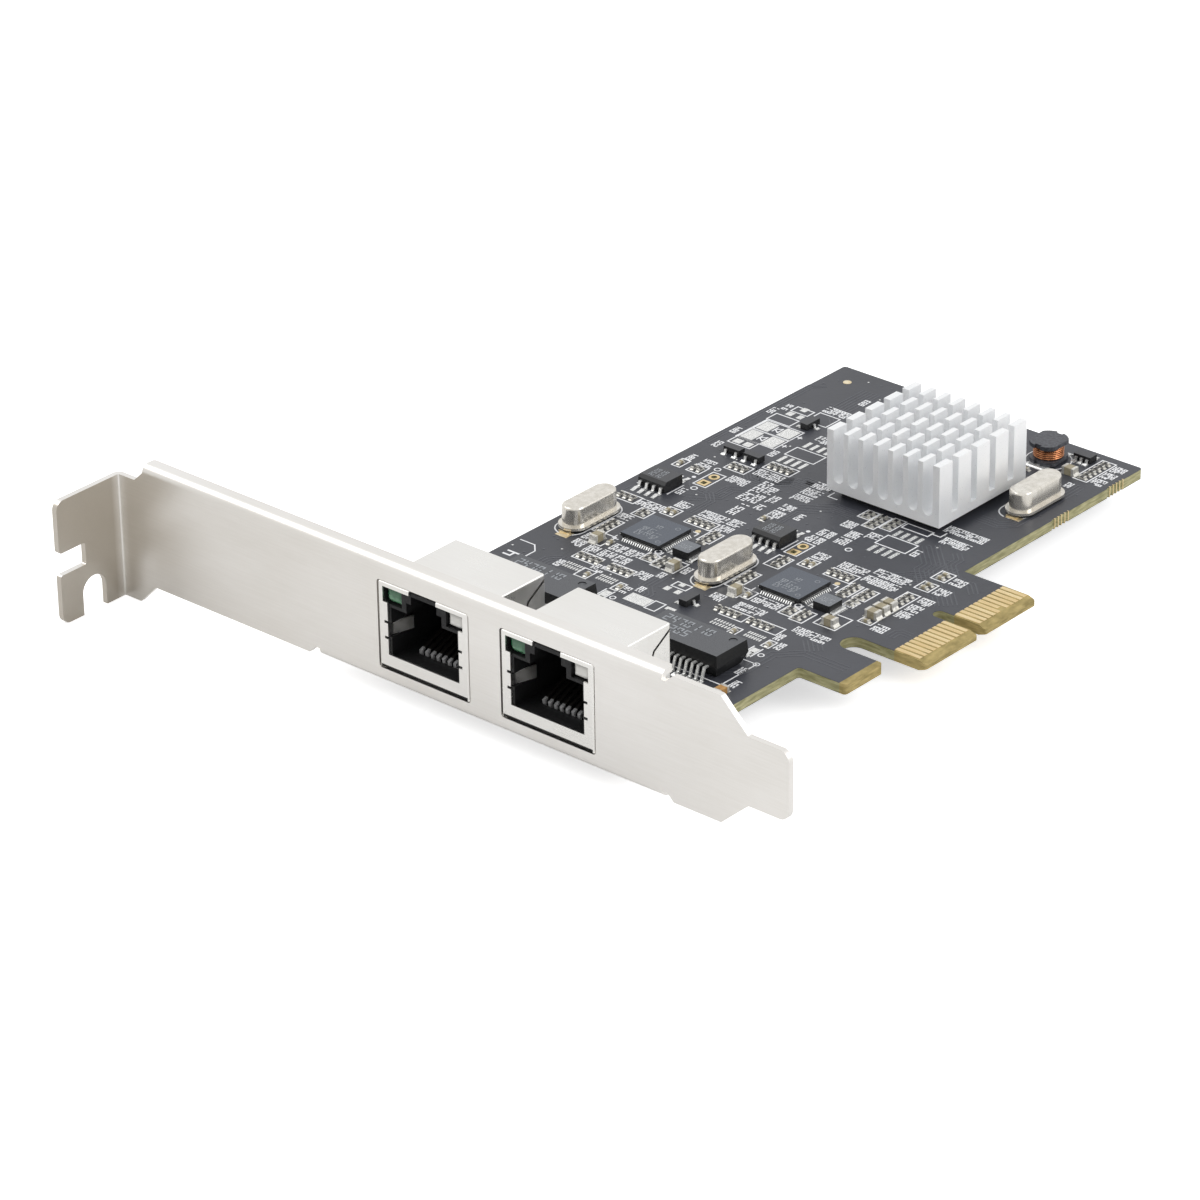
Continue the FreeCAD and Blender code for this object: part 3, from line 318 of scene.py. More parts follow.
def make_materials():
    """Every finish on the card, by the name that the pieces use."""
    return {
        "board": solder_mask(),
        # Covered copper stands a little proud of the laminate and shows as paler lines in the mask.
        "covered_copper": grained("solder_mask_over_copper", "#52545b", "#4a4c52", 3.0, (0.34, 0.42),
                                  0.5, 0.004),
        # White legend ink is screen printed: matt and a little uneven.
        "legend": grained("screen_printed_ink", "#ffffff", "#eef0f4", 0.5, (0.55, 0.7), 0.12, 0.003),
        "bracket": sheet_steel("nickel_plated_steel", "#f2f0ed", "#e6e3de", 0.36),
        "shield": sheet_steel("nickel_plated_shield_steel", "#f3f2ef", "#e9e7e3", 0.30),
        # Zinc plated screws: bright, bluish and lightly scratched by the driver.
        "screw": grained("zinc_plated_steel", "#d9dcdf", "#b9bdc2", 0.8, (0.2, 0.35), 0.15, 0.006, 1.0),
        # Gold plate over nickel: pale and satin, worn to fine streaks by the socket.
        "gold": grained("gold_plate_on_copper", "#f1dcae", "#dfc38c", 0.9, (0.24, 0.40), 0.2, 0.003, 1.0,
                        (0.1, 1, 1)),
        # Cream pads under the crystals are gold plate that solder has wetted.
        "wetted_gold": grained("wetted_gold_pad", "#f4ead0", "#dcc596", 0.8, (0.30, 0.50), 0.3, 0.02, 0.7),
        "aluminium": milled_aluminium(),
        "can": drawn_can(),
        # Reflowed tin is bright and softly lumpy, with dull crystals in it.
        "tin": grained("reflowed_tin", "#fafaf8", "#d2d3d2", 0.35, (0.18, 0.40), 0.3, 0.015, 0.65),
        # Chips are dipped in matt tin, which dulls to a warm grey.
        "matt_tin": grained("matt_tin_plate", "#efede7", "#c6c4bc", 0.35, (0.30, 0.50), 0.2, 0.010, 0.6),
        "spring": contact_wire(),
        # Glass filled nylon is black, with a fine dull grain from the mould.
        "nylon": grained("glass_filled_nylon", "#0c0c0e", "#070708", 1.5, (0.50, 0.70), 0.12, 0.008,
                         IOR=1.45),
        "network_chip": moulded_epoxy("slate_epoxy_compound", "#5f656f", "#131417"),
        "chip": moulded_epoxy("black_epoxy_compound", "#4e4f52", "#131416"),
        "transformer": moulded_epoxy("black_moulded_magnetics", "#5e6064", "#08090a"),
        # Sintered ferrite is grey, dense and slightly sparkling.
        "ferrite": grained("sintered_ferrite", "#5b5d63", "#3c3d42", 0.4, (0.32, 0.5), 0.1, 0.008, 0.3),
        # The square chokes are ferrite with a grey coat, paler than the bare drum; their top is painted
        # paler as lit and their sides near black as shaded.
        "choke": moulded_epoxy("coated_ferrite", "#80848a", "#0f1011"),
        # Enamelled copper wire: copper under a clear film.
        "copper": grained("enamelled_copper", "#cf9168", "#8f5a3c", 0.5, (0.2, 0.35), 0.3, 0.01, 1.0),
        "beige": grained("barium_titanate_ceramic", "#b0a78e", "#978d74", 0.5, (0.45, 0.6), 0.12, 0.006),
        "tan": grained("zinc_oxide_ceramic", "#c79a5e", "#a87a42", 0.6, (0.4, 0.55), 0.12, 0.006),
        "resistor": glazed_resistor(),
        "green_lens": tinted_lens("green_epoxy_lens", "#24663f", "#93cba2", 0.18),
        "clear_lens": tinted_lens("clear_epoxy_lens", "#e4e2dc", "#ffffff", 0.15),
        # The adhesive pad is soft grey silicone with a faint weave.
        "pad": grained("silicone_adhesive_pad", "#8f9296", "#7b7e83", 0.8, (0.7, 0.85), 0.3, 0.01),
        # Laser marking turns the moulding compound pale grey.
        "marking": grained("laser_marking", "#aeb2b7", "#92969b", 0.3, (0.6, 0.7), 0.1, 0.004),
    }


NODE_FINISHES = {
    "circuit_board": "board", "bracket": "bracket", "bracket_screws": "screw", "edge_contacts": "gold",
    "switch_chip": "chip", "thermal_pad": "pad", "heat_sink": "aluminium", "memory_chips": "chip",
    "memory_chip_leads": "tin", "crystal_bases": "nylon", "crystal_cans": "can",
    "crystal_leads": "wetted_gold", "drum_inductor_core": "ferrite", "drum_inductor_winding": "copper",
    "drum_inductor_terminals": "tin", "shielded_inductors": "choke",
    "shielded_inductor_terminals": "tin", "transistor_bodies": "chip", "transistor_leads": "tin",
    "chip_capacitors": "beige", "large_chip_capacitors": "beige", "chip_resistors": "resistor",
    "surge_suppressor": "tan",
}
for port in ("1", "2"):
    NODE_FINISHES.update({
        f"jack_{port}_shield": "shield", f"jack_{port}_housing": "nylon", f"jack_{port}_contacts": "spring",
        f"jack_{port}_green_light": "green_lens", f"jack_{port}_clear_light": "clear_lens",
        f"transformer_{port}_body": "transformer", f"transformer_{port}_pins": "tin",
        f"network_chip_{port}": "network_chip", f"network_chip_{port}_terminals": "tin"})

MATERIALS = {}


def new_piece(name, build, finish):
    """Make a piece from a function that fills a bmesh, and let it ride with the card."""
    mesh = bpy.data.meshes.new(name)
    bm = bmesh.new()
    build(bm)
    bmesh.ops.recalc_face_normals(bm, faces=bm.faces)
    bm.to_mesh(mesh)
    bm.free()
    mesh.materials.append(MATERIALS[finish])
    piece = bpy.data.objects.new(name, mesh)
    bpy.context.scene.collection.objects.link(piece)
    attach(piece, "root")
    return piece


# How far print and copper stand proud of the board and the usual width of a printed line, in millimetres,
# how much higher a line gets for each radian of its direction, and what counts as touching.
PRINT = 0.025
COPPER = 0.035
LINE = 0.20
RISE_BY_ANGLE = 0.15
TOUCH = 0.001


def block(bm, x_low, x_high, y_low, y_high, z_low, z_high):
    """Box in card millimetres."""
    middle = spot((x_low + x_high) / 2, (y_low + y_high) / 2, (z_low + z_high) / 2)
    size = Matrix.Diagonal(((x_high - x_low) * MM, (y_high - y_low) * MM, (z_high - z_low) * MM, 1.0))
    return bmesh.ops.create_cube(bm, size=1.0, matrix=Matrix.Translation(middle) @ size)["verts"]


def stroke(bm, start, end, width, thick, level=0.0):
    """Flat line in plan between two places, with its ends half a width past them. Its height grows a
    little with its direction, so that lines which meet at a corner share no face."""
    start, end = Vector(start), Vector(end)
    along = end - start
    length = along.length + width
    middle = (start + end) / 2
    angle = math.atan2(along.y, along.x)
    thick *= 1 + RISE_BY_ANGLE * (angle % math.pi)
    turn = Matrix.Rotation(angle, 4, "Z")
    size = Matrix.Diagonal((length * MM, width * MM, thick * MM, 1.0))
    place = Matrix.Translation(spot(middle.x, middle.y, level + thick / 2))
    bmesh.ops.create_cube(bm, size=1.0, matrix=place @ turn @ size)


def disc(bm, x, y, radius, thick, level=0.0, segments=16):
    """Flat round spot."""
    bmesh.ops.create_cone(bm, cap_ends=True, segments=segments, radius1=radius * MM, radius2=radius * MM,
                          depth=thick * MM, matrix=Matrix.Translation(spot(x, y, level + thick / 2)))


def ring(bm, x, y, radius, width, thick, level=0.0, segments=24, turn=0.0):
    """Flat ring: a circle inset by the ring's width, without its middle, raised to its thickness."""
    place = Matrix.Translation(spot(x, y, level)) @ Matrix.Rotation(turn, 4, "Z")
    made = bmesh.ops.create_circle(bm, cap_ends=True, segments=segments, radius=radius * MM, matrix=place)
    face = made["verts"][0].link_faces[0]
    bmesh.ops.inset_region(bm, faces=[face], thickness=width * MM, use_even_offset=True, use_boundary=True)
    band = [f for f in dict.fromkeys(f for v in made["verts"] for f in v.link_faces) if f is not face]
    bmesh.ops.delete(bm, geom=[face], context="FACES_ONLY")
    raised = bmesh.ops.extrude_face_region(bm, geom=band)["geom"]
    bmesh.ops.translate(bm, vec=(0, 0, thick * MM),
                        verts=[item for item in raised if isinstance(item, bmesh.types.BMVert)])


def solid_boxes(node):
    """Lowest and highest corner of every separate solid of a node, in card millimetres."""
    bm = bmesh.new()
    bm.from_mesh(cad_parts[node].data)
    bmesh.ops.remove_doubles(bm, verts=bm.verts, dist=TOUCH * MM)
    boxes = []
    left = set(bm.verts)
    while left:
        waiting = [left.pop()]
        island = []
        while waiting:
            vert = waiting.pop()
            island.append(card_mm(vert.co))
            for edge in vert.link_edges:
                other = edge.other_vert(vert)
                if other in left:
                    left.remove(other)
                    waiting.append(other)
        boxes.append([[pick(point[axis] for point in island) for axis in range(3)] for pick in (min, max)])
    bm.free()
    return sorted(boxes)


def middle_of(box):
    """Middle of a box that is given by its lowest and highest corner."""
    return [(box[0][axis] + box[1][axis]) / 2 for axis in range(3)]


def end_of(low, high, axis, side, inwards, outwards):
    """The box round one end of a box: from so far inside that end to so far past it."""
    low, high = list(low), list(high)
    if side > 0:
        low[axis], high[axis] = high[axis] - inwards, high[axis] + outwards
    else:
        low[axis], high[axis] = low[axis] - outwards, low[axis] + inwards
    return low, high


# Shape of a solder fillet: how much of its run the upper edge draws back, and how much of its rise it
# sinks.
DRAW_BACK = 0.85
SINK = 0.15


def fillet(bm, low, high, rise, axis, side):
    """Wedge of solder that climbs from a land's outer end up the end of a chip."""
    outer = (high if side > 0 else low)[axis]
    for vert in block(bm, low[0], high[0], low[1], high[1], 0.0, rise):
        place = card_mm(vert.co)
        if place.z > rise / 2 and abs(place[axis] - outer) < TOUCH:
            vert.co[axis] -= side * (high[axis] - low[axis]) * DRAW_BACK * MM
            vert.co.z -= rise * SINK * MM


# A chip's end in millimetres or as a share of the chip: the cap's plating and length, how far the solder
# reaches past the chip, its height, and the land's rim round it.
PLATING = 0.015
CAP_SHARE = 0.20
SOLDER_REACH = 0.18
SOLDER_SHARE = 0.06
SOLDER_CLIMB = 0.40
LAND_RIM = 0.05


def chip_ends(bm):
    """Plated end caps, lands and solder of every chip, from the places of the chips themselves."""
    for node in ("chip_resistors", "chip_capacitors", "large_chip_capacitors", "surge_suppressor"):
        for low, high in solid_boxes(node):
            axis = 0 if high[0] - low[0] > high[1] - low[1] else 1
            length = high[axis] - low[axis]
            for side in (-1, 1):
                a, b = end_of(low, high, axis, side, length * CAP_SHARE, 0.0)
                block(bm, a[0] - PLATING, b[0] + PLATING, a[1] - PLATING, b[1] + PLATING,
                      0.0, high[2] + PLATING)
                a, b = end_of(low, high, axis, side, 0.0, SOLDER_REACH + length * SOLDER_SHARE)
                fillet(bm, a, b, (high[2] - low[2]) * SOLDER_CLIMB, axis, side)
                block(bm, a[0] - LAND_RIM, b[0] + LAND_RIM, a[1] - LAND_RIM, b[1] + LAND_RIM, 0.0, COPPER)


# Rows of leads, the bodies they belong to, and the land's reach inwards, outwards and sideways, with
# the height that the solder climbs, in millimetres.
LEADED = (("transformer_1_pins", "transformer_1_body", 1.2, 0.45, 0.10, 0.16),
          ("transformer_2_pins", "transformer_2_body", 1.2, 0.45, 0.10, 0.16),
          ("memory_chip_leads", "memory_chips", 0.70, 1.15, 0.10, 0.20),
          ("transistor_leads", "transistor_bodies", 0.40, 0.40, 0.15, 0.16),
          ("network_chip_1_terminals", "network_chip_1", 0.45, 0.42, -0.02, 0.34),
          ("network_chip_2_terminals", "network_chip_2", 0.45, 0.42, -0.02, 0.34),
          ("shielded_inductor_terminals", "shielded_inductors", 0.60, 0.45, 0.12, 0.16),
          ("drum_inductor_terminals", "drum_inductor_core", 1.20, 0.40, 0.10, 0.16))

# A lead this near the middle line of its body stands at the body's end, and solder covers this share of
# the land's toe.
MIDDLE = 0.3
TOE_SHARE = 0.7


def lead_lands(bm):
    """A land under the foot of each lead, drawn outwards from the body that the lead belongs to."""
    for leads, bodies, heel, toe, wide, rise in LEADED:
        centres = [middle_of(box) for box in solid_boxes(bodies)]
        for low, high in solid_boxes(leads):
            x, y, _ = middle_of((low, high))
            home = min(centres, key=lambda c: (c[0] - x) ** 2 + (c[1] - y) ** 2)
            axis = 0 if high[0] - low[0] > high[1] - low[1] else 1
            if abs((x, y)[axis] - home[axis]) < MIDDLE or leads.startswith(("shielded", "drum")):
                axis = 0 if abs(x - home[0]) > abs(y - home[1]) else 1
            side = 1 if (x, y)[axis] > home[axis] else -1
            low[1 - axis] -= wide
            high[1 - axis] += wide
            a, b = end_of(low, high, axis, side, heel, toe)
            block(bm, a[0], b[0], a[1], b[1], 0.0, COPPER)
            fillet(bm, *end_of(low, high, axis, side, 0.0, toe * TOE_SHARE), rise, axis, side)


# Lands that carry no piece: x from, x to, y from, y to.
OPEN_LANDS = [
    (41.8, 44.0, 84.5, 87.4), (45.6, 48.0, 84.4, 87.4), (41.8, 44.0, 88.1, 90.9),
    (45.6, 48.0, 88.1, 90.9), (42.0, 43.4, 82.4, 83.7), (43.9, 45.2, 82.4, 83.7),
    (43.1, 44.1, 96.6, 97.8), (42.2, 43.3, 94.3, 95.5), (44.2, 45.1, 94.3, 95.5),
    (65.3, 66.2, 42.9, 43.9), (64.3, 65.2, 40.8, 41.9), (66.2, 67.1, 40.8, 41.9),
    (62.0, 65.8, 35.1, 37.4), (68.3, 69.9, 36.5, 37.3), (86.4, 87.5, 49.0, 52.4),
    (61.45, 62.55, 49.0, 52.4), (84.85, 86.0, 33.6, 35.6), (58.65, 59.8, 33.6, 35.6),
    (52.2, 53.2, 33.4, 34.6), (54.0, 55.0, 33.4, 34.6),
]
# Rows of them: the middles in x, half a land's width, and the two spans in y.
PAD_ROWS = [((51.3, 52.6, 53.9, 55.2), 0.30, (81.5, 83.6), (87.4, 89.3)),
            ((78.8, 80.1, 81.4, 82.6), 0.30, (67.7, 69.8), (73.5, 75.4))]
for first, last in ((49.0, 52.1), (55.1, 58.1), (75.6, 78.9), (81.5, 84.4)):
    middles = [first + 0.15 + (last - first - 0.3) * step / 6 for step in range(7)]
    PAD_ROWS.append((middles, 0.13, (37.3, 38.0), (38.25, 38.9)))
for middles, half, *spans in PAD_ROWS:
    OPEN_LANDS += [(pad_x - half, pad_x + half, *span) for pad_x in middles for span in spans]

# The wetted pads that show past the crystals' near ends.
CRYSTAL_LANDS = [(41.93, 44.0, 43.9, 45.7), (67.0, 69.2, 44.1, 45.6), (87.3, 89.6, 88.0, 89.2)]


def open_lands(bm):
    """Tinned lands that wait for a piece."""
    for x_low, x_high, y_low, y_high in OPEN_LANDS:
        block(bm, x_low, x_high, y_low, y_high, 0.0, COPPER)


# The assembly machine's aiming spots: x, y and radius.
AIMING_SPOTS = ((42.4, 108.65, 0.65), (56.9, 57.2, 0.42), (81.85, 57.2, 0.42))


def wetted_lands(bm):
    """Pads under the crystals, and the aiming spots."""
    for x_low, x_high, y_low, y_high in CRYSTAL_LANDS:
        block(bm, x_low, x_high, y_low, y_high, 0.0, COPPER)
    for x, y, radius in AIMING_SPOTS:
        disc(bm, x, y, radius, COPPER)


# Pads of the header's holes, round and square: radius to the rim or corner, and width of the gold.
ROUND_PADS = ((47.60, 71.8), (71.15, 62.9))
SQUARE_PADS = ((47.60, 69.5), (71.20, 60.8))
ROUND_PAD = (0.82, 0.36)
SQUARE_PAD = (1.13, 0.40)

# The broken edge: the middle of each row of bites in y, their number and pitch, and the plated strip in x
# and, from a bite's middle, in y.
BITE_ROWS = (93.2, 106.2)
BITES = 5
BITE_PITCH = 0.78
STRIP_X = (92.78, 92.97)
STRIP_Y = (0.30, 0.48)


def gold_marks(bm):
    """Bare gold: pads of the header holes, and the plated notches on the broken edge."""
    for x, y in ROUND_PADS:
        ring(bm, x, y, *ROUND_PAD, COPPER)
    for x, y in SQUARE_PADS:
        ring(bm, x, y, *SQUARE_PAD, COPPER, segments=4, turn=math.pi / 4)
    depth = (BOARD_TOP - BOARD_BOTTOM) / MM
    for centre in BITE_ROWS:
        for step in range(BITES):
            along = centre + (step - BITES // 2) * BITE_PITCH
            block(bm, *STRIP_X, along + STRIP_Y[0], along + STRIP_Y[1], -depth, COPPER)


# Printed frames round groups of chips: x from, x to, y from, y to.
FRAMES = [
    (40.5, 44.2, 58.0, 60.2), (48.9, 51.2, 58.3, 60.7), (53.35, 58.0, 58.3, 60.7),
    (46.0, 48.4, 55.4, 57.9), (45.0, 47.2, 48.2, 52.7), (58.3, 60.6, 55.2, 58.5),
    (58.3, 60.2, 45.2, 48.4), (60.2, 62.5, 45.2, 48.6), (47.4, 49.3, 45.1, 48.5),
    (55.9, 58.0, 45.7, 47.9), (48.3, 52.5, 40.2, 42.4), (54.1, 58.4, 40.2, 42.4),
    (52.1, 54.2, 36.3, 38.8), (58.7, 59.9, 36.3, 38.6), (70.2, 72.8, 55.4, 58.9),
    (73.9, 76.1, 58.2, 60.7), (78.5, 83.1, 58.2, 60.7), (83.3, 85.4, 55.0, 58.6),
    (85.9, 88.1, 55.3, 58.6), (86.5, 90.2, 46.2, 50.1), (80.9, 83.0, 45.5, 47.9),
    (83.2, 85.4, 45.0, 48.4), (75.0, 78.9, 40.1, 42.2), (80.6, 84.9, 40.1, 42.3),
    (79.2, 80.5, 36.6, 38.6), (85.2, 86.5, 36.6, 38.6), (64.6, 67.2, 42.3, 43.8),
    (50.6, 55.9, 84.0, 86.9), (50.9, 55.8, 78.6, 81.0), (41.5, 45.6, 82.1, 84.2),
    (46.6, 50.3, 75.1, 77.5), (40.2, 41.7, 71.1, 73.6), (42.9, 45.3, 71.1, 73.5),
    (46.5, 48.8, 68.4, 73.0), (60.9, 62.3, 65.4, 67.1), (78.0, 82.6, 76.3, 77.8),
    (78.1, 83.4, 70.2, 73.2), (71.1, 73.1, 75.1, 77.6), (73.3, 75.4, 73.2, 77.6),
    (75.6, 77.6, 74.2, 78.0), (70.1, 72.3, 60.0, 64.1), (90.6, 93.0, 66.7, 69.4),
    (90.6, 93.0, 63.0, 65.5), (42.1, 45.2, 95.8, 97.5), (45.9, 49.6, 94.6, 98.0),
    (41.1, 45.3, 91.5, 93.8), (87.1, 89.5, 104.1, 111.3), (66.0, 67.8, 35.0, 37.5),
    (72.5, 73.8, 45.2, 48.2), (73.9, 75.4, 45.8, 48.1), (90.8, 93.0, 50.4, 61.4),
    (70.0, 72.2, 47.2, 52.6),
]

# Printed numbers beside the frames: x from, x to, y from, y to.
LABELS = [
    (44.3, 48.7, 58.2, 60.1), (45.0, 47.2, 53.0, 55.1), (58.3, 60.6, 59.0, 64.9),
    (47.7, 48.8, 36.7, 39.4), (52.3, 54.9, 38.9, 39.9), (60.2, 61.3, 36.3, 39.1),
    (61.7, 62.7, 37.6, 40.3), (45.4, 47.2, 43.0, 47.6), (48.1, 50.0, 42.7, 44.6),
    (50.4, 53.0, 42.8, 47.9), (53.1, 55.8, 42.8, 47.9), (58.6, 61.0, 41.1, 44.5),
    (61.1, 62.2, 42.6, 44.6), (63.0, 64.0, 46.0, 48.8), (86.1, 88.0, 52.7, 55.1),
    (85.6, 91.5, 42.1, 45.5), (86.9, 88.0, 37.0, 39.8), (85.2, 86.2, 39.0, 41.9),
    (50.9, 55.8, 76.1, 78.3), (40.4, 41.5, 73.7, 76.1), (42.9, 45.2, 73.7, 76.1),
    (49.3, 52.7, 72.0, 74.9), (40.2, 41.7, 79.5, 81.5), (48.6, 49.9, 82.1, 85.5),
    (39.5, 40.6, 84.7, 87.0), (60.1, 63.0, 73.3, 79.5), (60.9, 63.0, 67.3, 73.3),
    (64.6, 65.6, 68.6, 70.6), (46.4, 47.4, 64.4, 66.4), (48.9, 51.2, 61.2, 63.3),
    (53.4, 58.0, 61.1, 63.4), (83.0, 90.0, 79.1, 81.1), (84.7, 89.4, 75.9, 77.9),
    (84.1, 85.0, 70.2, 72.2), (70.9, 72.9, 71.3, 74.8), (73.4, 75.3, 66.7, 72.6),
    (75.8, 77.8, 70.5, 73.9), (69.8, 72.6, 64.6, 69.5), (73.9, 76.2, 61.1, 63.2),
    (78.5, 83.1, 61.1, 63.2), (83.5, 89.4, 60.0, 64.8), (45.7, 49.8, 98.5, 100.5),
    (48.4, 49.3, 103.6, 105.7), (40.5, 41.5, 95.4, 97.4), (39.5, 40.5, 93.2, 95.3),
    (50.8, 53.3, 90.0, 93.0), (89.8, 91.9, 104.1, 111.3), (87.6, 88.6, 100.6, 102.6),
    (75.0, 80.0, 42.7, 45.1), (75.8, 80.4, 45.7, 47.9), (93.5, 95.7, 49.5, 52.8),
    (93.5, 95.7, 54.6, 56.5), (93.5, 95.7, 57.0, 61.7), (93.5, 95.7, 63.1, 65.5),
    (93.5, 95.7, 66.8, 69.2), (70.6, 72.8, 42.7, 44.8), (87.2, 88.4, 28.4, 31.0),
    (89.0, 90.1, 25.0, 28.0), (61.0, 62.2, 28.4, 31.0), (62.8, 63.9, 25.0, 28.0),
]

# Taller plain numbers: the digits, x of the foot, y of the start, height and line.
BOLD_NUMBERS = (
    ("1047320", 55.6, 68.1, 1.35, 0.25), ("206148", 57.3, 69.0, 1.20, 0.22),
    ("3051", 57.3, 64.3, 1.20, 0.22), ("706", 59.3, 70.3, 1.10, 0.20), ("24", 59.3, 67.8, 1.10, 0.20),
    ("4", 42.6, 35.0, 2.30, 0.34),
)


def outline(bm, x_low, x_high, y_low, y_high):
    """Printed rectangle."""
    corners = [(x_low, y_low), (x_high, y_low), (x_high, y_high), (x_low, y_high)]
    for index in range(4):
        stroke(bm, corners[index - 1], corners[index], LINE, PRINT)


def long_round(bm, x, y, length, width, steps=8):
    """Obround line, long along y, with gaps at its ends where the lands are."""
    straight = length / 2 - width / 2
    for side in (-1, 1):
        edge = x + side * width / 2
        stroke(bm, (edge, y - straight), (edge, y + straight), LINE, PRINT)
        for end in (-1, 1):
            before = None
            for step in range(steps):
                angle = math.pi / 2 * step / steps
                here = (x + side * width / 2 * math.cos(angle),
                        y + end * (straight + width / 2 * math.sin(angle)))
                if before:
                    stroke(bm, before, here, LINE, PRINT)
                before = here


# Plain numbers are drawn from seven straight strokes, given by their two ends on a digit that is one wide
# and two high.
STROKES = {"a": (0, 2, 1, 2), "b": (1, 2, 1, 1), "c": (1, 1, 1, 0), "d": (0, 0, 1, 0),
           "e": (0, 0, 0, 1), "f": (0, 1, 0, 2), "g": (0, 1, 1, 1)}
DIGITS = {"0": "abcdef", "1": "bc", "2": "abged", "3": "abgcd", "4": "fgbc",
          "5": "afgcd", "6": "afgedc", "7": "abc", "8": "abcdefg", "9": "abcdfg"}

# A digit's width, the step to the next digit and the gap between two numbers, as shares of the height.
DIGIT_WIDTH = 0.46
DIGIT_STEP = 0.82
GAP = 0.36

# The board's small numbers in millimetres: height, space between rows, and start past the area's edge.
SMALL_HEIGHT = 0.86
SMALL_ROWS = 1.12
SMALL_START = 0.1


def number(bm, text, x, y, height, turned, level=0.0, line=0.18):
    """Plain number. It reads along x, or along y where it is turned."""
    done = 0.0
    for digit in text:
        for letter in DIGITS.get(digit, ""):
            ends = []
            for a, b in (STROKES[letter][:2], STROKES[letter][2:]):
                along = done + a * DIGIT_WIDTH * height
                rise = b * height / 2
                ends.append((x - rise, y + along) if turned else (x + along, y + rise))
            stroke(bm, ends[0], ends[1], line, PRINT, level)
        done += height * (DIGIT_STEP if digit in DIGITS else GAP)


def number_block(bm, seeded, x_low, x_high, y_low, y_high):
    """Fill a printed area with rows of plain numbers of three digits, read along y."""
    rows = max(1, round((x_high - x_low) / SMALL_ROWS))
    pitch = (x_high - x_low) / rows
    words = max(1, round((y_high - y_low) / (SMALL_HEIGHT * (3 * DIGIT_STEP + GAP))))
    for row in range(rows):
        text = " ".join(str(seeded.randrange(100, 1000)) for word in range(words))
        x = x_low + pitch * (row + 0.5) + SMALL_HEIGHT / 2
        number(bm, text, x, y_low + SMALL_START, SMALL_HEIGHT, True)


# Middles of the printed obrounds round the crystals, with their length and width.
OBROUNDS = ((42.42, 50.5), (67.44, 50.33), (87.35, 93.95))
OBROUND = (11.9, 4.7)

# Printed rings that mark a first pin: radius and width, and the places of the plain ones.
PIN_RING = (0.55, 0.18)
LARGE_PIN_RING = (0.50, 0.17)
CHIP_PIN_RINGS = ((56.7, 48.9), (81.8, 48.8))
SMALL_PIN_RINGS = ((47.65, 67.3), (46.4, 74.0), (70.2, 65.3), (76.6, 66.2))

# The circle round the drum inductor: x, y, radius and width.
DRUM_RING = (80.92, 106.6, 3.45, 0.20)

# How far the corner marks of a network chip stand off and how long they are.
CORNER_GAP = 0.75
CORNER_LENGTH = 0.9


def transformer_print(bm):
    """Outline of each transformer with rings and bars at its first pins."""
    for node in ("transformer_1_body", "transformer_2_body"):
        low, high = solid_boxes(node)[0]
        outline(bm, low[0] - 0.45, high[0] + 1.05, low[1] - 0.4, high[1] + 0.4)
        ring(bm, high[0] - 0.15, 34.5, *LARGE_PIN_RING, PRINT)
        ring(bm, high[0] + 1.05, 32.1, *LARGE_PIN_RING, PRINT)
        for shift in (-2.5, -1.0):
            stroke(bm, (high[0] + shift, 33.3), (high[0] + shift, 35.9), LINE, PRINT)


def chip_print(bm):
    """Corner marks of the network chips, and side lines and dots of the memory chips."""
    for node in ("network_chip_1", "network_chip_2"):
        low, high = solid_boxes(node)[0]
        for x, side_x in ((low[0] - CORNER_GAP, 1), (high[0] + CORNER_GAP, -1)):
            for y, side_y in ((low[1] - CORNER_GAP, 1), (high[1] + CORNER_GAP, -1)):
                stroke(bm, (x, y), (x + side_x * CORNER_LENGTH, y), LINE, PRINT)
                stroke(bm, (x, y), (x, y + side_y * CORNER_LENGTH), LINE, PRINT)
    for low, high in solid_boxes("memory_chips"):
        for side in (low[0] - 0.35, high[0] + 0.35):
            stroke(bm, (side, low[1] + 0.2), (side, high[1] - 0.2), LINE, PRINT)
        disc(bm, high[0] - 0.3, high[1] + 2.9, 0.32, PRINT)


def diode_print(bm):
    """The two empty diode places: frame, bar, arrow and plus sign of each."""
    for low_y, high_y in ((84.5, 87.4), (88.1, 90.9)):
        y = (low_y + high_y) / 2
        stroke(bm, (41.45, low_y), (41.45, high_y), 0.45, PRINT)
        stroke(bm, (48.35, low_y), (48.35, high_y), LINE, PRINT)
        for side in (-1, 1):
            stroke(bm, (41.3, y + side * 1.7), (48.35, y + side * 1.7), LINE, PRINT)
            stroke(bm, (44.35, y), (45.3, y + side * 0.7), LINE, PRINT)
        stroke(bm, (44.35, y - 0.7), (44.35, y + 0.7), LINE, PRINT)
        stroke(bm, (45.3, y - 0.7), (45.3, y + 0.7), LINE, PRINT)
        stroke(bm, (48.95, y - 0.35), (48.95, y + 0.35), LINE, PRINT)
        stroke(bm, (48.6, y), (49.3, y), LINE, PRINT)


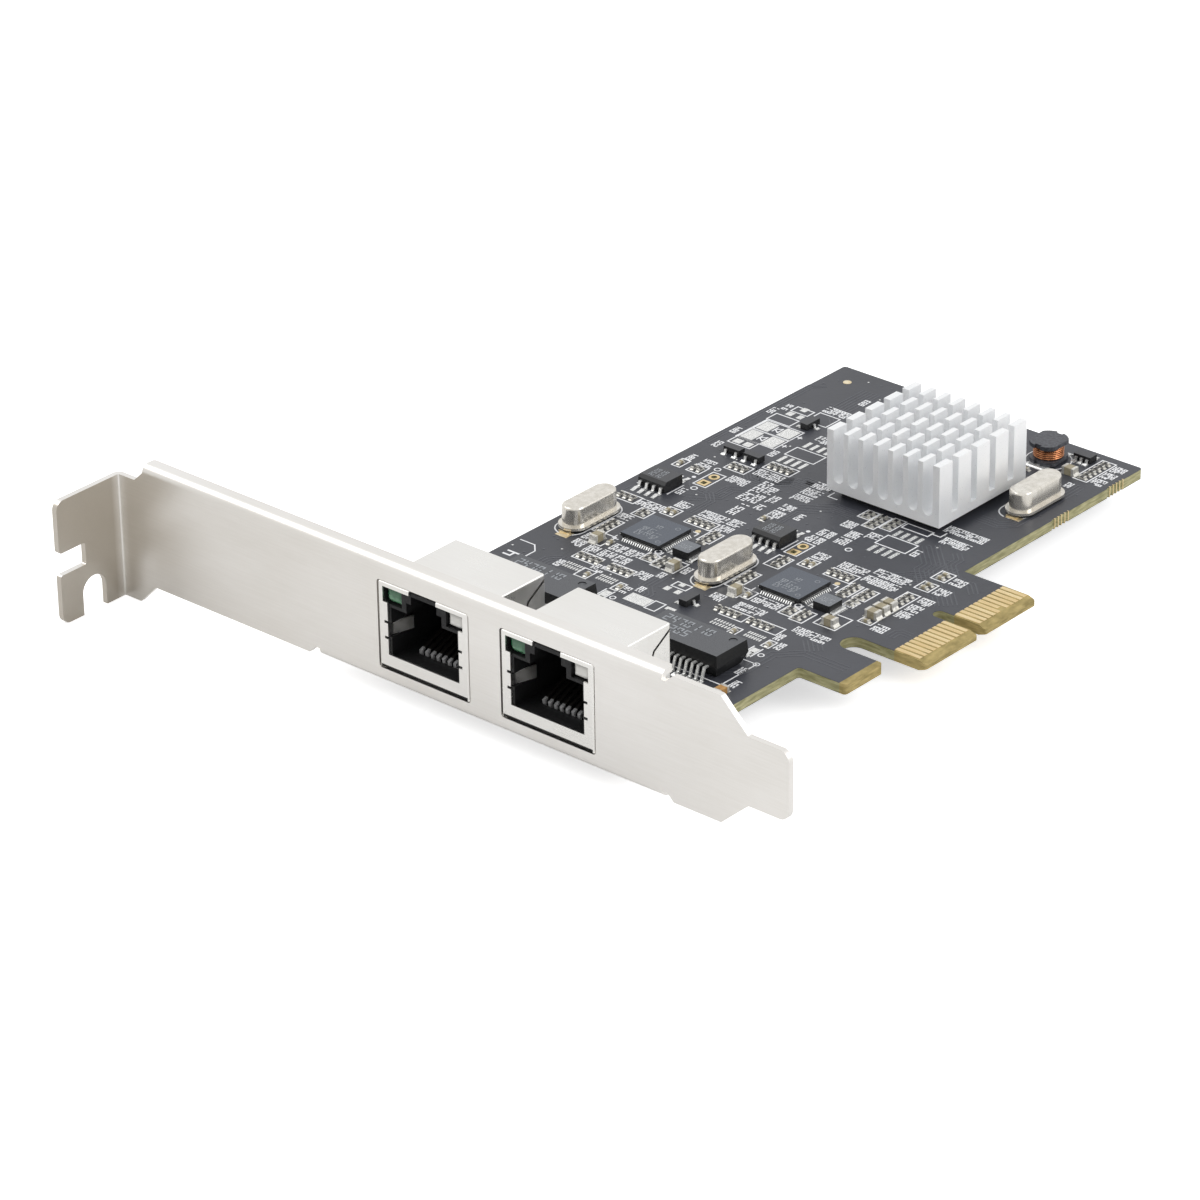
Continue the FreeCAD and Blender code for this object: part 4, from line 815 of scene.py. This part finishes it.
def legend(bm):
    """White print: frames, outlines, polarity marks and plain numbers."""
    for box in FRAMES:
        outline(bm, *box)
    seeded = random.Random(7)
    for area in LABELS:
        number_block(bm, seeded, *area)
    for x, y in OBROUNDS:
        long_round(bm, x, y, *OBROUND)
    transformer_print(bm)
    ring(bm, *DRUM_RING, PRINT, segments=40)
    for x, y in CHIP_PIN_RINGS:
        ring(bm, x, y, *PIN_RING, PRINT)
    chip_print(bm)
    for x, side in ((64.0, 1), (84.1, -1)):
        stroke(bm, (x, 77.3), (x + side * 1.6, 77.3), LINE, PRINT)
        stroke(bm, (x, 77.3), (x, 77.3 + 1.4), LINE, PRINT)
    diode_print(bm)
    for x, y in SMALL_PIN_RINGS:
        ring(bm, x, y, *PIN_RING, PRINT)
    bend = ((39.4, 39.6), (42.0, 39.6), (43.3, 38.2), (43.3, 34.0))
    for start, end in zip(bend, bend[1:]):
        stroke(bm, start, end, LINE, PRINT)
    for text, x, y, height, line in BOLD_NUMBERS:
        number(bm, text, x, y, height, True, line=line)


def offset_line(points, shift):
    """The same bent line moved sideways, with its corners kept."""
    moved = []
    for index, point in enumerate(points):
        here = Vector(point)
        ways = []
        if index:
            ways.append((here - Vector(points[index - 1])).normalized())
        if index < len(points) - 1:
            ways.append((Vector(points[index + 1]) - here).normalized())
        sides = [Vector((-way.y, way.x)) for way in ways]
        mitre = (sides[0] + sides[-1]).normalized()
        moved.append(here + mitre * (shift / mitre.dot(sides[0])))
    return moved


# Covered tracks: the line of the first one, how many run side by side, and their spacing.
TRACKS = [
    ([(45.6, 68.6), (47.4, 66.8), (50.2, 66.8), (51.6, 65.4), (51.6, 61.2)], 3, 0.55),
    ([(48.6, 76.0), (51.4, 73.2), (54.2, 73.2), (57.6, 76.6), (63.4, 76.6)], 6, 0.50),
    ([(50.0, 78.2), (53.0, 75.2), (55.4, 75.2), (58.8, 78.6), (63.6, 78.6)], 4, 0.50),
    ([(49.4, 63.8), (52.8, 67.2), (52.8, 70.0), (54.0, 71.2)], 5, 0.50),
    ([(64.2, 66.8), (64.2, 70.6), (67.4, 73.8), (70.6, 73.8)], 6, 0.50),
    ([(88.6, 71.0), (88.6, 67.4), (84.8, 63.6)], 7, 0.60),
    ([(99.0, 52.2), (97.2, 52.2), (96.4, 51.4), (96.4, 49.6)], 3, 0.60),
    ([(98.4, 62.6), (95.6, 65.4), (93.6, 65.4), (90.2, 68.8), (90.2, 70.6), (85.6, 75.2)], 6, 0.62),
    ([(98.6, 67.0), (96.4, 69.2), (93.6, 69.2), (91.0, 71.8), (91.0, 73.6), (89.4, 75.2)], 3, 0.62),
    ([(64.6, 32.8), (64.6, 38.6), (62.8, 40.4), (62.8, 44.6)], 4, 0.60),
    ([(48.6, 32.6), (48.6, 36.6), (50.2, 38.2), (50.2, 39.6)], 6, 0.62),
    ([(86.4, 27.0), (88.8, 29.4), (88.8, 35.4), (91.4, 38.0), (98.2, 38.0)], 3, 0.70),
    ([(92.6, 40.8), (90.4, 43.0)], 5, 0.60),
    ([(40.2, 62.0), (40.2, 46.0), (41.4, 44.8), (44.2, 44.8)], 2, 0.50),
    ([(39.6, 80.0), (39.6, 104.0), (41.0, 105.4)], 3, 0.50),
    ([(58.0, 98.4), (51.2, 98.4), (49.0, 100.6), (49.0, 108.0)], 6, 0.60),
    ([(62.6, 92.4), (54.6, 92.4), (53.0, 94.0), (53.0, 96.2)], 5, 0.55),
    ([(66.0, 98.8), (66.0, 106.4), (67.6, 108.0), (72.6, 108.0)], 5, 0.60),
    ([(84.6, 84.6), (88.4, 84.6), (90.4, 86.6), (90.4, 102.2)], 4, 0.60)]
TRACK_WIDTH = 0.20
TRACK_RISE = 0.018


def tracks(bm):
    """Copper lines under the mask."""
    for points, count, pitch in TRACKS:
        for index in range(count):
            line = offset_line(points, index * pitch)
            for start, end in zip(line, line[1:]):
                stroke(bm, start, end, TRACK_WIDTH, TRACK_RISE)


# The part of the board that has small holes in x and y, their room to what stands there and to each other,
# and for the covered and the open ones: number, seed, radius and rise.
HOLE_AREA = ((39.6, 91.9), (18.0, 111.6))
HOLE_ROOM = 0.35
HOLE_SPACING = 1.0
COVERED_HOLES = (200, 3, 0.20, 0.028)
OPEN_HOLES = (24, 11, 0.16, 0.03)


def crowded(x, y, boxes):
    """Whether a place lies on a box or too near to one."""
    return any(low[0] - HOLE_ROOM < x < high[0] + HOLE_ROOM and low[1] - HOLE_ROOM < y < high[1] + HOLE_ROOM
               for low, high in boxes)


def via_places(count, seed):
    """Free places on the board, clear of every piece, frame and number."""
    boxes = [((a, c), (b, d)) for a, b, c, d in LABELS + FRAMES + OPEN_LANDS]
    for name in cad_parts:
        if name not in ("circuit_board", "bracket"):
            boxes += solid_boxes(name)
    seeded = random.Random(seed)
    places = []
    while len(places) < count:
        x, y = [seeded.uniform(*span) for span in HOLE_AREA]
        if not crowded(x, y, boxes) and all(math.hypot(x - a, y - b) > HOLE_SPACING for a, b in places):
            places.append((x, y))
    return places


def small_holes(bm, count, seed, radius, rise):
    """Small round spots where plated holes join the board's layers."""
    for x, y in via_places(count, seed):
        disc(bm, x, y, radius, rise, segments=10)


def covered_vias(bm):
    """Holes under the mask."""
    small_holes(bm, *COVERED_HOLES)


def open_vias(bm):
    """Tinned holes that the mask leaves free."""
    small_holes(bm, *OPEN_HOLES)


# Laser marks sink this far into a package's top, and the first-pin dots have this radius and width.
MARK_SINK = 0.01
MARK_DOT = (0.38, 0.07)


def markings(bm):
    """Dull laser numbers and first-pin dots on the tops of the larger packages."""
    for node, last in (("network_chip_1", "401"), ("network_chip_2", "402")):
        low, high = solid_boxes(node)[0]
        top = high[2] - MARK_SINK
        for row, text in enumerate(("0248", "130715", last)):
            number(bm, text, low[0] + 2.4 + row * 1.35, low[1] + 1.0, 0.85, True, top, 0.10)
        ring(bm, high[0] - 0.9, low[1] + 0.9, *MARK_DOT, PRINT, top)
        ring(bm, high[0] - 1.3, high[1] - 1.3, *MARK_DOT, PRINT, top)
    for node, last in (("transformer_1_body", "36105"), ("transformer_2_body", "36205")):
        low, high = solid_boxes(node)[0]
        for row, text in enumerate(("2470110", last)):
            number(bm, text, low[0] + 1.3, high[1] - 2.6 - row * 2.2, 1.5, False, high[2] - MARK_SINK, 0.20)
    for node, texts, x, pitch, y, height, line in (
            ("memory_chips", ("2506", "2506"), 1.9, 1.3, 0.9, 0.75, 0.09),
            ("shielded_inductors", ("22", "04"), 1.35, 1.1, 0.8, 0.8, 0.10)):
        for low, high in solid_boxes(node):
            for row, text in enumerate(texts):
                number(bm, text, low[0] + x + row * pitch, low[1] + y, height, True,
                       high[2] - MARK_SINK, line)


def winding(bm):
    """Turns of wire round the drum's post, spun from a row of round sections."""
    low, high = solid_boxes("drum_inductor_winding")[0]
    x, y, _ = middle_of((low, high))
    outer = (high[0] - low[0]) / 2
    turns = 6
    wire = (high[2] - low[2]) / turns
    for turn in range(turns):
        centre = spot(x + outer - wire / 2, y, low[2] + wire * (turn + 0.5))
        place = Matrix.Translation(centre) @ Matrix.Rotation(math.pi / 2, 4, "X")
        verts = bmesh.ops.create_circle(bm, segments=10, radius=wire / 2 * MM, matrix=place)["verts"]
        edges = list(dict.fromkeys(edge for vert in verts for edge in vert.link_edges))
        bmesh.ops.spin(bm, geom=verts + edges, cent=spot(x, y, 0), axis=(0, 0, 1), angle=math.tau, steps=40,
                       use_merge=True)


# The stage, in metres: where the photograph was taken from, and the soft boxes by name, place and width.
CAMERA_PLACE = (0.42476, -0.498445, 0.33973)
NEAREST = 0.01
FRAME_MM = 36.0
SOFT_BOXES = (("left_box", (-0.9, -0.5, 1.3), 1.0), ("right_box", (1.1, 0.5, 0.9), 0.9))

# Strength of the paper's lift to white, of the world as a light, and of the world as it is seen.
PAPER_LIFT = 0.6
WORLD_LIGHT = 0.62
WORLD_SEEN = 0.95


class CARD_sizes(bpy.types.PropertyGroup):
    """Sizes and colours that a user would change."""
    floor_size: bpy.props.FloatProperty(
        name="Floor size", description="Width of the studio floor", default=6.0, unit="LENGTH")
    light_power: bpy.props.FloatProperty(
        name="Light", description="Power of each large soft light", default=7.2, min=0.0)
    floor_colour: bpy.props.FloatVectorProperty(
        name="Floor colour", description="Colour of the studio floor", default=(1.0, 1.0, 1.0),
        subtype="COLOR")
    azimuth: bpy.props.FloatProperty(
        name="Azimuth", description="Camera's turn about the card", default=math.radians(41.463),
        subtype="ANGLE")
    elevation: bpy.props.FloatProperty(
        name="Elevation", description="Camera's height above the card's plane",
        default=math.radians(27.513), subtype="ANGLE")
    roll: bpy.props.FloatProperty(
        name="Roll", description="Camera's turn about its own line of sight", default=-0.0156,
        subtype="ANGLE")
    lens: bpy.props.FloatProperty(
        name="Lens", description="Focal length on a 36 mm frame", default=159.145, unit="CAMERA")


class CARD_OT_finishes(bpy.types.Operator):
    """Give every solid of the card its finish"""
    bl_idname = "card.finishes"
    bl_label = "Finishes"

    def execute(self, context):
        MATERIALS.update(make_materials())
        for name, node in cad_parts.items():
            node.data.materials.clear()
            node.data.materials.append(MATERIALS[NODE_FINISHES[name]])
        return {"FINISHED"}


class CARD_OT_solder(bpy.types.Operator):
    """Plate the chips' ends and lay lands and solder under every lead"""
    bl_idname = "card.solder"
    bl_label = "Solder"

    def execute(self, context):
        new_piece("chip_end_caps", chip_ends, "matt_tin")
        new_piece("lead_lands", lead_lands, "tin")
        new_piece("wetted_lands", wetted_lands, "wetted_gold")
        new_piece("open_lands", open_lands, "tin")
        new_piece("gold_marks", gold_marks, "gold")
        return {"FINISHED"}


class CARD_OT_legend(bpy.types.Operator):
    """Print the white frames, outlines and plain numbers on the board"""
    bl_idname = "card.legend"
    bl_label = "Printed legend"

    def execute(self, context):
        new_piece("printed_legend", legend, "legend")
        new_piece("laser_markings", markings, "marking")
        return {"FINISHED"}


class CARD_OT_tracks(bpy.types.Operator):
    """Raise the copper tracks and holes under the mask"""
    bl_idname = "card.tracks"
    bl_label = "Tracks"

    def execute(self, context):
        new_piece("covered_tracks", tracks, "covered_copper")
        new_piece("covered_vias", covered_vias, "covered_copper")
        new_piece("open_vias", open_vias, "tin")
        return {"FINISHED"}


class CARD_OT_winding(bpy.types.Operator):
    """Wind the wire of the drum inductor"""
    bl_idname = "card.winding"
    bl_label = "Winding"

    def execute(self, context):
        piece = new_piece("drum_winding_turns", winding, "copper")
        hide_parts("drum_inductor_winding")
        return {"FINISHED"}


class CARD_OT_stage(bpy.types.Operator):
    """Lay the pale floor, hang the soft lights and set the camera"""
    bl_idname = "card.stage"
    bl_label = "Stage"

    def execute(self, context):
        sizes = context.scene.card_sizes
        bm = bmesh.new()
        bmesh.ops.create_grid(bm, x_segments=1, y_segments=1, size=sizes.floor_size / 2,
                              matrix=Matrix.Translation((0, 0, CAD_LOW[2])))
        mesh = bpy.data.meshes.new("floor")
        bm.to_mesh(mesh)
        bm.free()
        floor = bpy.data.objects.new("floor", mesh)
        context.scene.collection.objects.link(floor)
        mesh.materials.append(self.floor_material(sizes))
        self.world(context.scene)
        self.lamps(context.scene, sizes)
        self.camera(context.scene, sizes)
        context.scene.view_settings.view_transform = "Standard"
        return {"FINISHED"}

    def floor_material(self, sizes):
        """Matt white paper. The camera sees it lifted to white, and it keeps the shadow."""
        material = bpy.data.materials.new("white_paper")
        material.use_nodes = True
        tree = material.node_tree
        tree.nodes.clear()
        path = add_node(tree, "LightPath")
        seen = add_node(tree, "Math", (path["Is Camera Ray"], path["Is Transmission Ray"]),
                        operation="MAXIMUM")[0]
        lift = add_node(tree, "Math", (seen, PAPER_LIFT), operation="MULTIPLY")[0]
        paper = add_node(tree, "BsdfDiffuse", {"Color": [*sizes.floor_colour, 1.0]})[0]
        glow = add_node(tree, "Emission", {"Strength": lift})[0]
        add_node(tree, "OutputMaterial", {"Surface": add_node(tree, "AddShader", (paper, glow))[0]})
        return material

    def world(self, scene):
        """Plain white light from all round, which the camera and metal see brighter."""
        world = bpy.data.worlds.new("studio")
        world.use_nodes = True
        tree = world.node_tree
        tree.nodes.clear()
        path = add_node(tree, "LightPath")
        seen = path["Is Camera Ray"]
        for other in ("Is Transmission Ray", "Is Glossy Ray"):
            seen = add_node(tree, "Math", (seen, path[other]), operation="MAXIMUM")[0]
        strength = add_node(tree, "MapRange", (seen, 0, 1, WORLD_LIGHT, WORLD_SEEN))[0]
        shade = add_node(tree, "Background", {"Color": (1, 1, 1, 1), "Strength": strength})[0]
        add_node(tree, "OutputWorld", {"Surface": shade})
        scene.world = world

    def lamps(self, scene, sizes):
        """Two large soft boxes, above on the left and low on the right."""
        for name, place, size in SOFT_BOXES:
            lamp = bpy.data.lights.new(name, "AREA")
            lamp.energy = sizes.light_power
            lamp.size = size
            box = bpy.data.objects.new(name, lamp)
            box.location = place
            box.rotation_euler = (-Vector(place)).to_track_quat("-Z", "Y").to_euler()
            scene.collection.objects.link(box)

    def camera(self, scene, sizes):
        """The photograph's own view: the camera's place was solved from the card's standard sizes."""
        back = Vector((math.sin(sizes.azimuth) * math.cos(sizes.elevation),
                       -math.cos(sizes.azimuth) * math.cos(sizes.elevation), math.sin(sizes.elevation)))
        right = Vector((math.cos(sizes.azimuth), math.sin(sizes.azimuth), 0))
        up = back.cross(right)
        turn = Matrix((right, up, back)).transposed() @ Matrix.Rotation(sizes.roll, 3, "Z")
        data = bpy.data.cameras.new("photo_view")
        data.lens = sizes.lens
        data.sensor_width = FRAME_MM
        data.clip_start = NEAREST
        camera = bpy.data.objects.new("photo_view", data)
        camera.matrix_world = Matrix.Translation(CAMERA_PLACE) @ turn.to_4x4()
        scene.collection.objects.link(camera)
        scene.camera = camera


class CARD_PT_pieces(bpy.types.Panel):
    """The card's pieces"""
    bl_label = "Network card"
    bl_idname = "CARD_PT_pieces"
    bl_space_type = "VIEW_3D"
    bl_region_type = "UI"
    bl_category = "Network card"

    def draw(self, context):
        for name in CARD_sizes.__annotations__:
            self.layout.prop(context.scene.card_sizes, name)
        for operator in OPERATORS:
            self.layout.operator(operator.bl_idname)


OPERATORS = (CARD_OT_finishes, CARD_OT_solder, CARD_OT_legend, CARD_OT_tracks, CARD_OT_winding,
             CARD_OT_stage)
CLASSES = (CARD_sizes,) + OPERATORS + (CARD_PT_pieces,)


def register():
    for item in CLASSES:
        bpy.utils.register_class(item)
    bpy.types.Scene.card_sizes = bpy.props.PointerProperty(type=CARD_sizes)


def unregister():
    del bpy.types.Scene.card_sizes
    for item in reversed(CLASSES):
        bpy.utils.unregister_class(item)


def main():
    register()
    for operator in OPERATORS:
        group, name = operator.bl_idname.split(".")
        getattr(getattr(bpy.ops, group), name)()


if __name__ == "__main__":
    main()
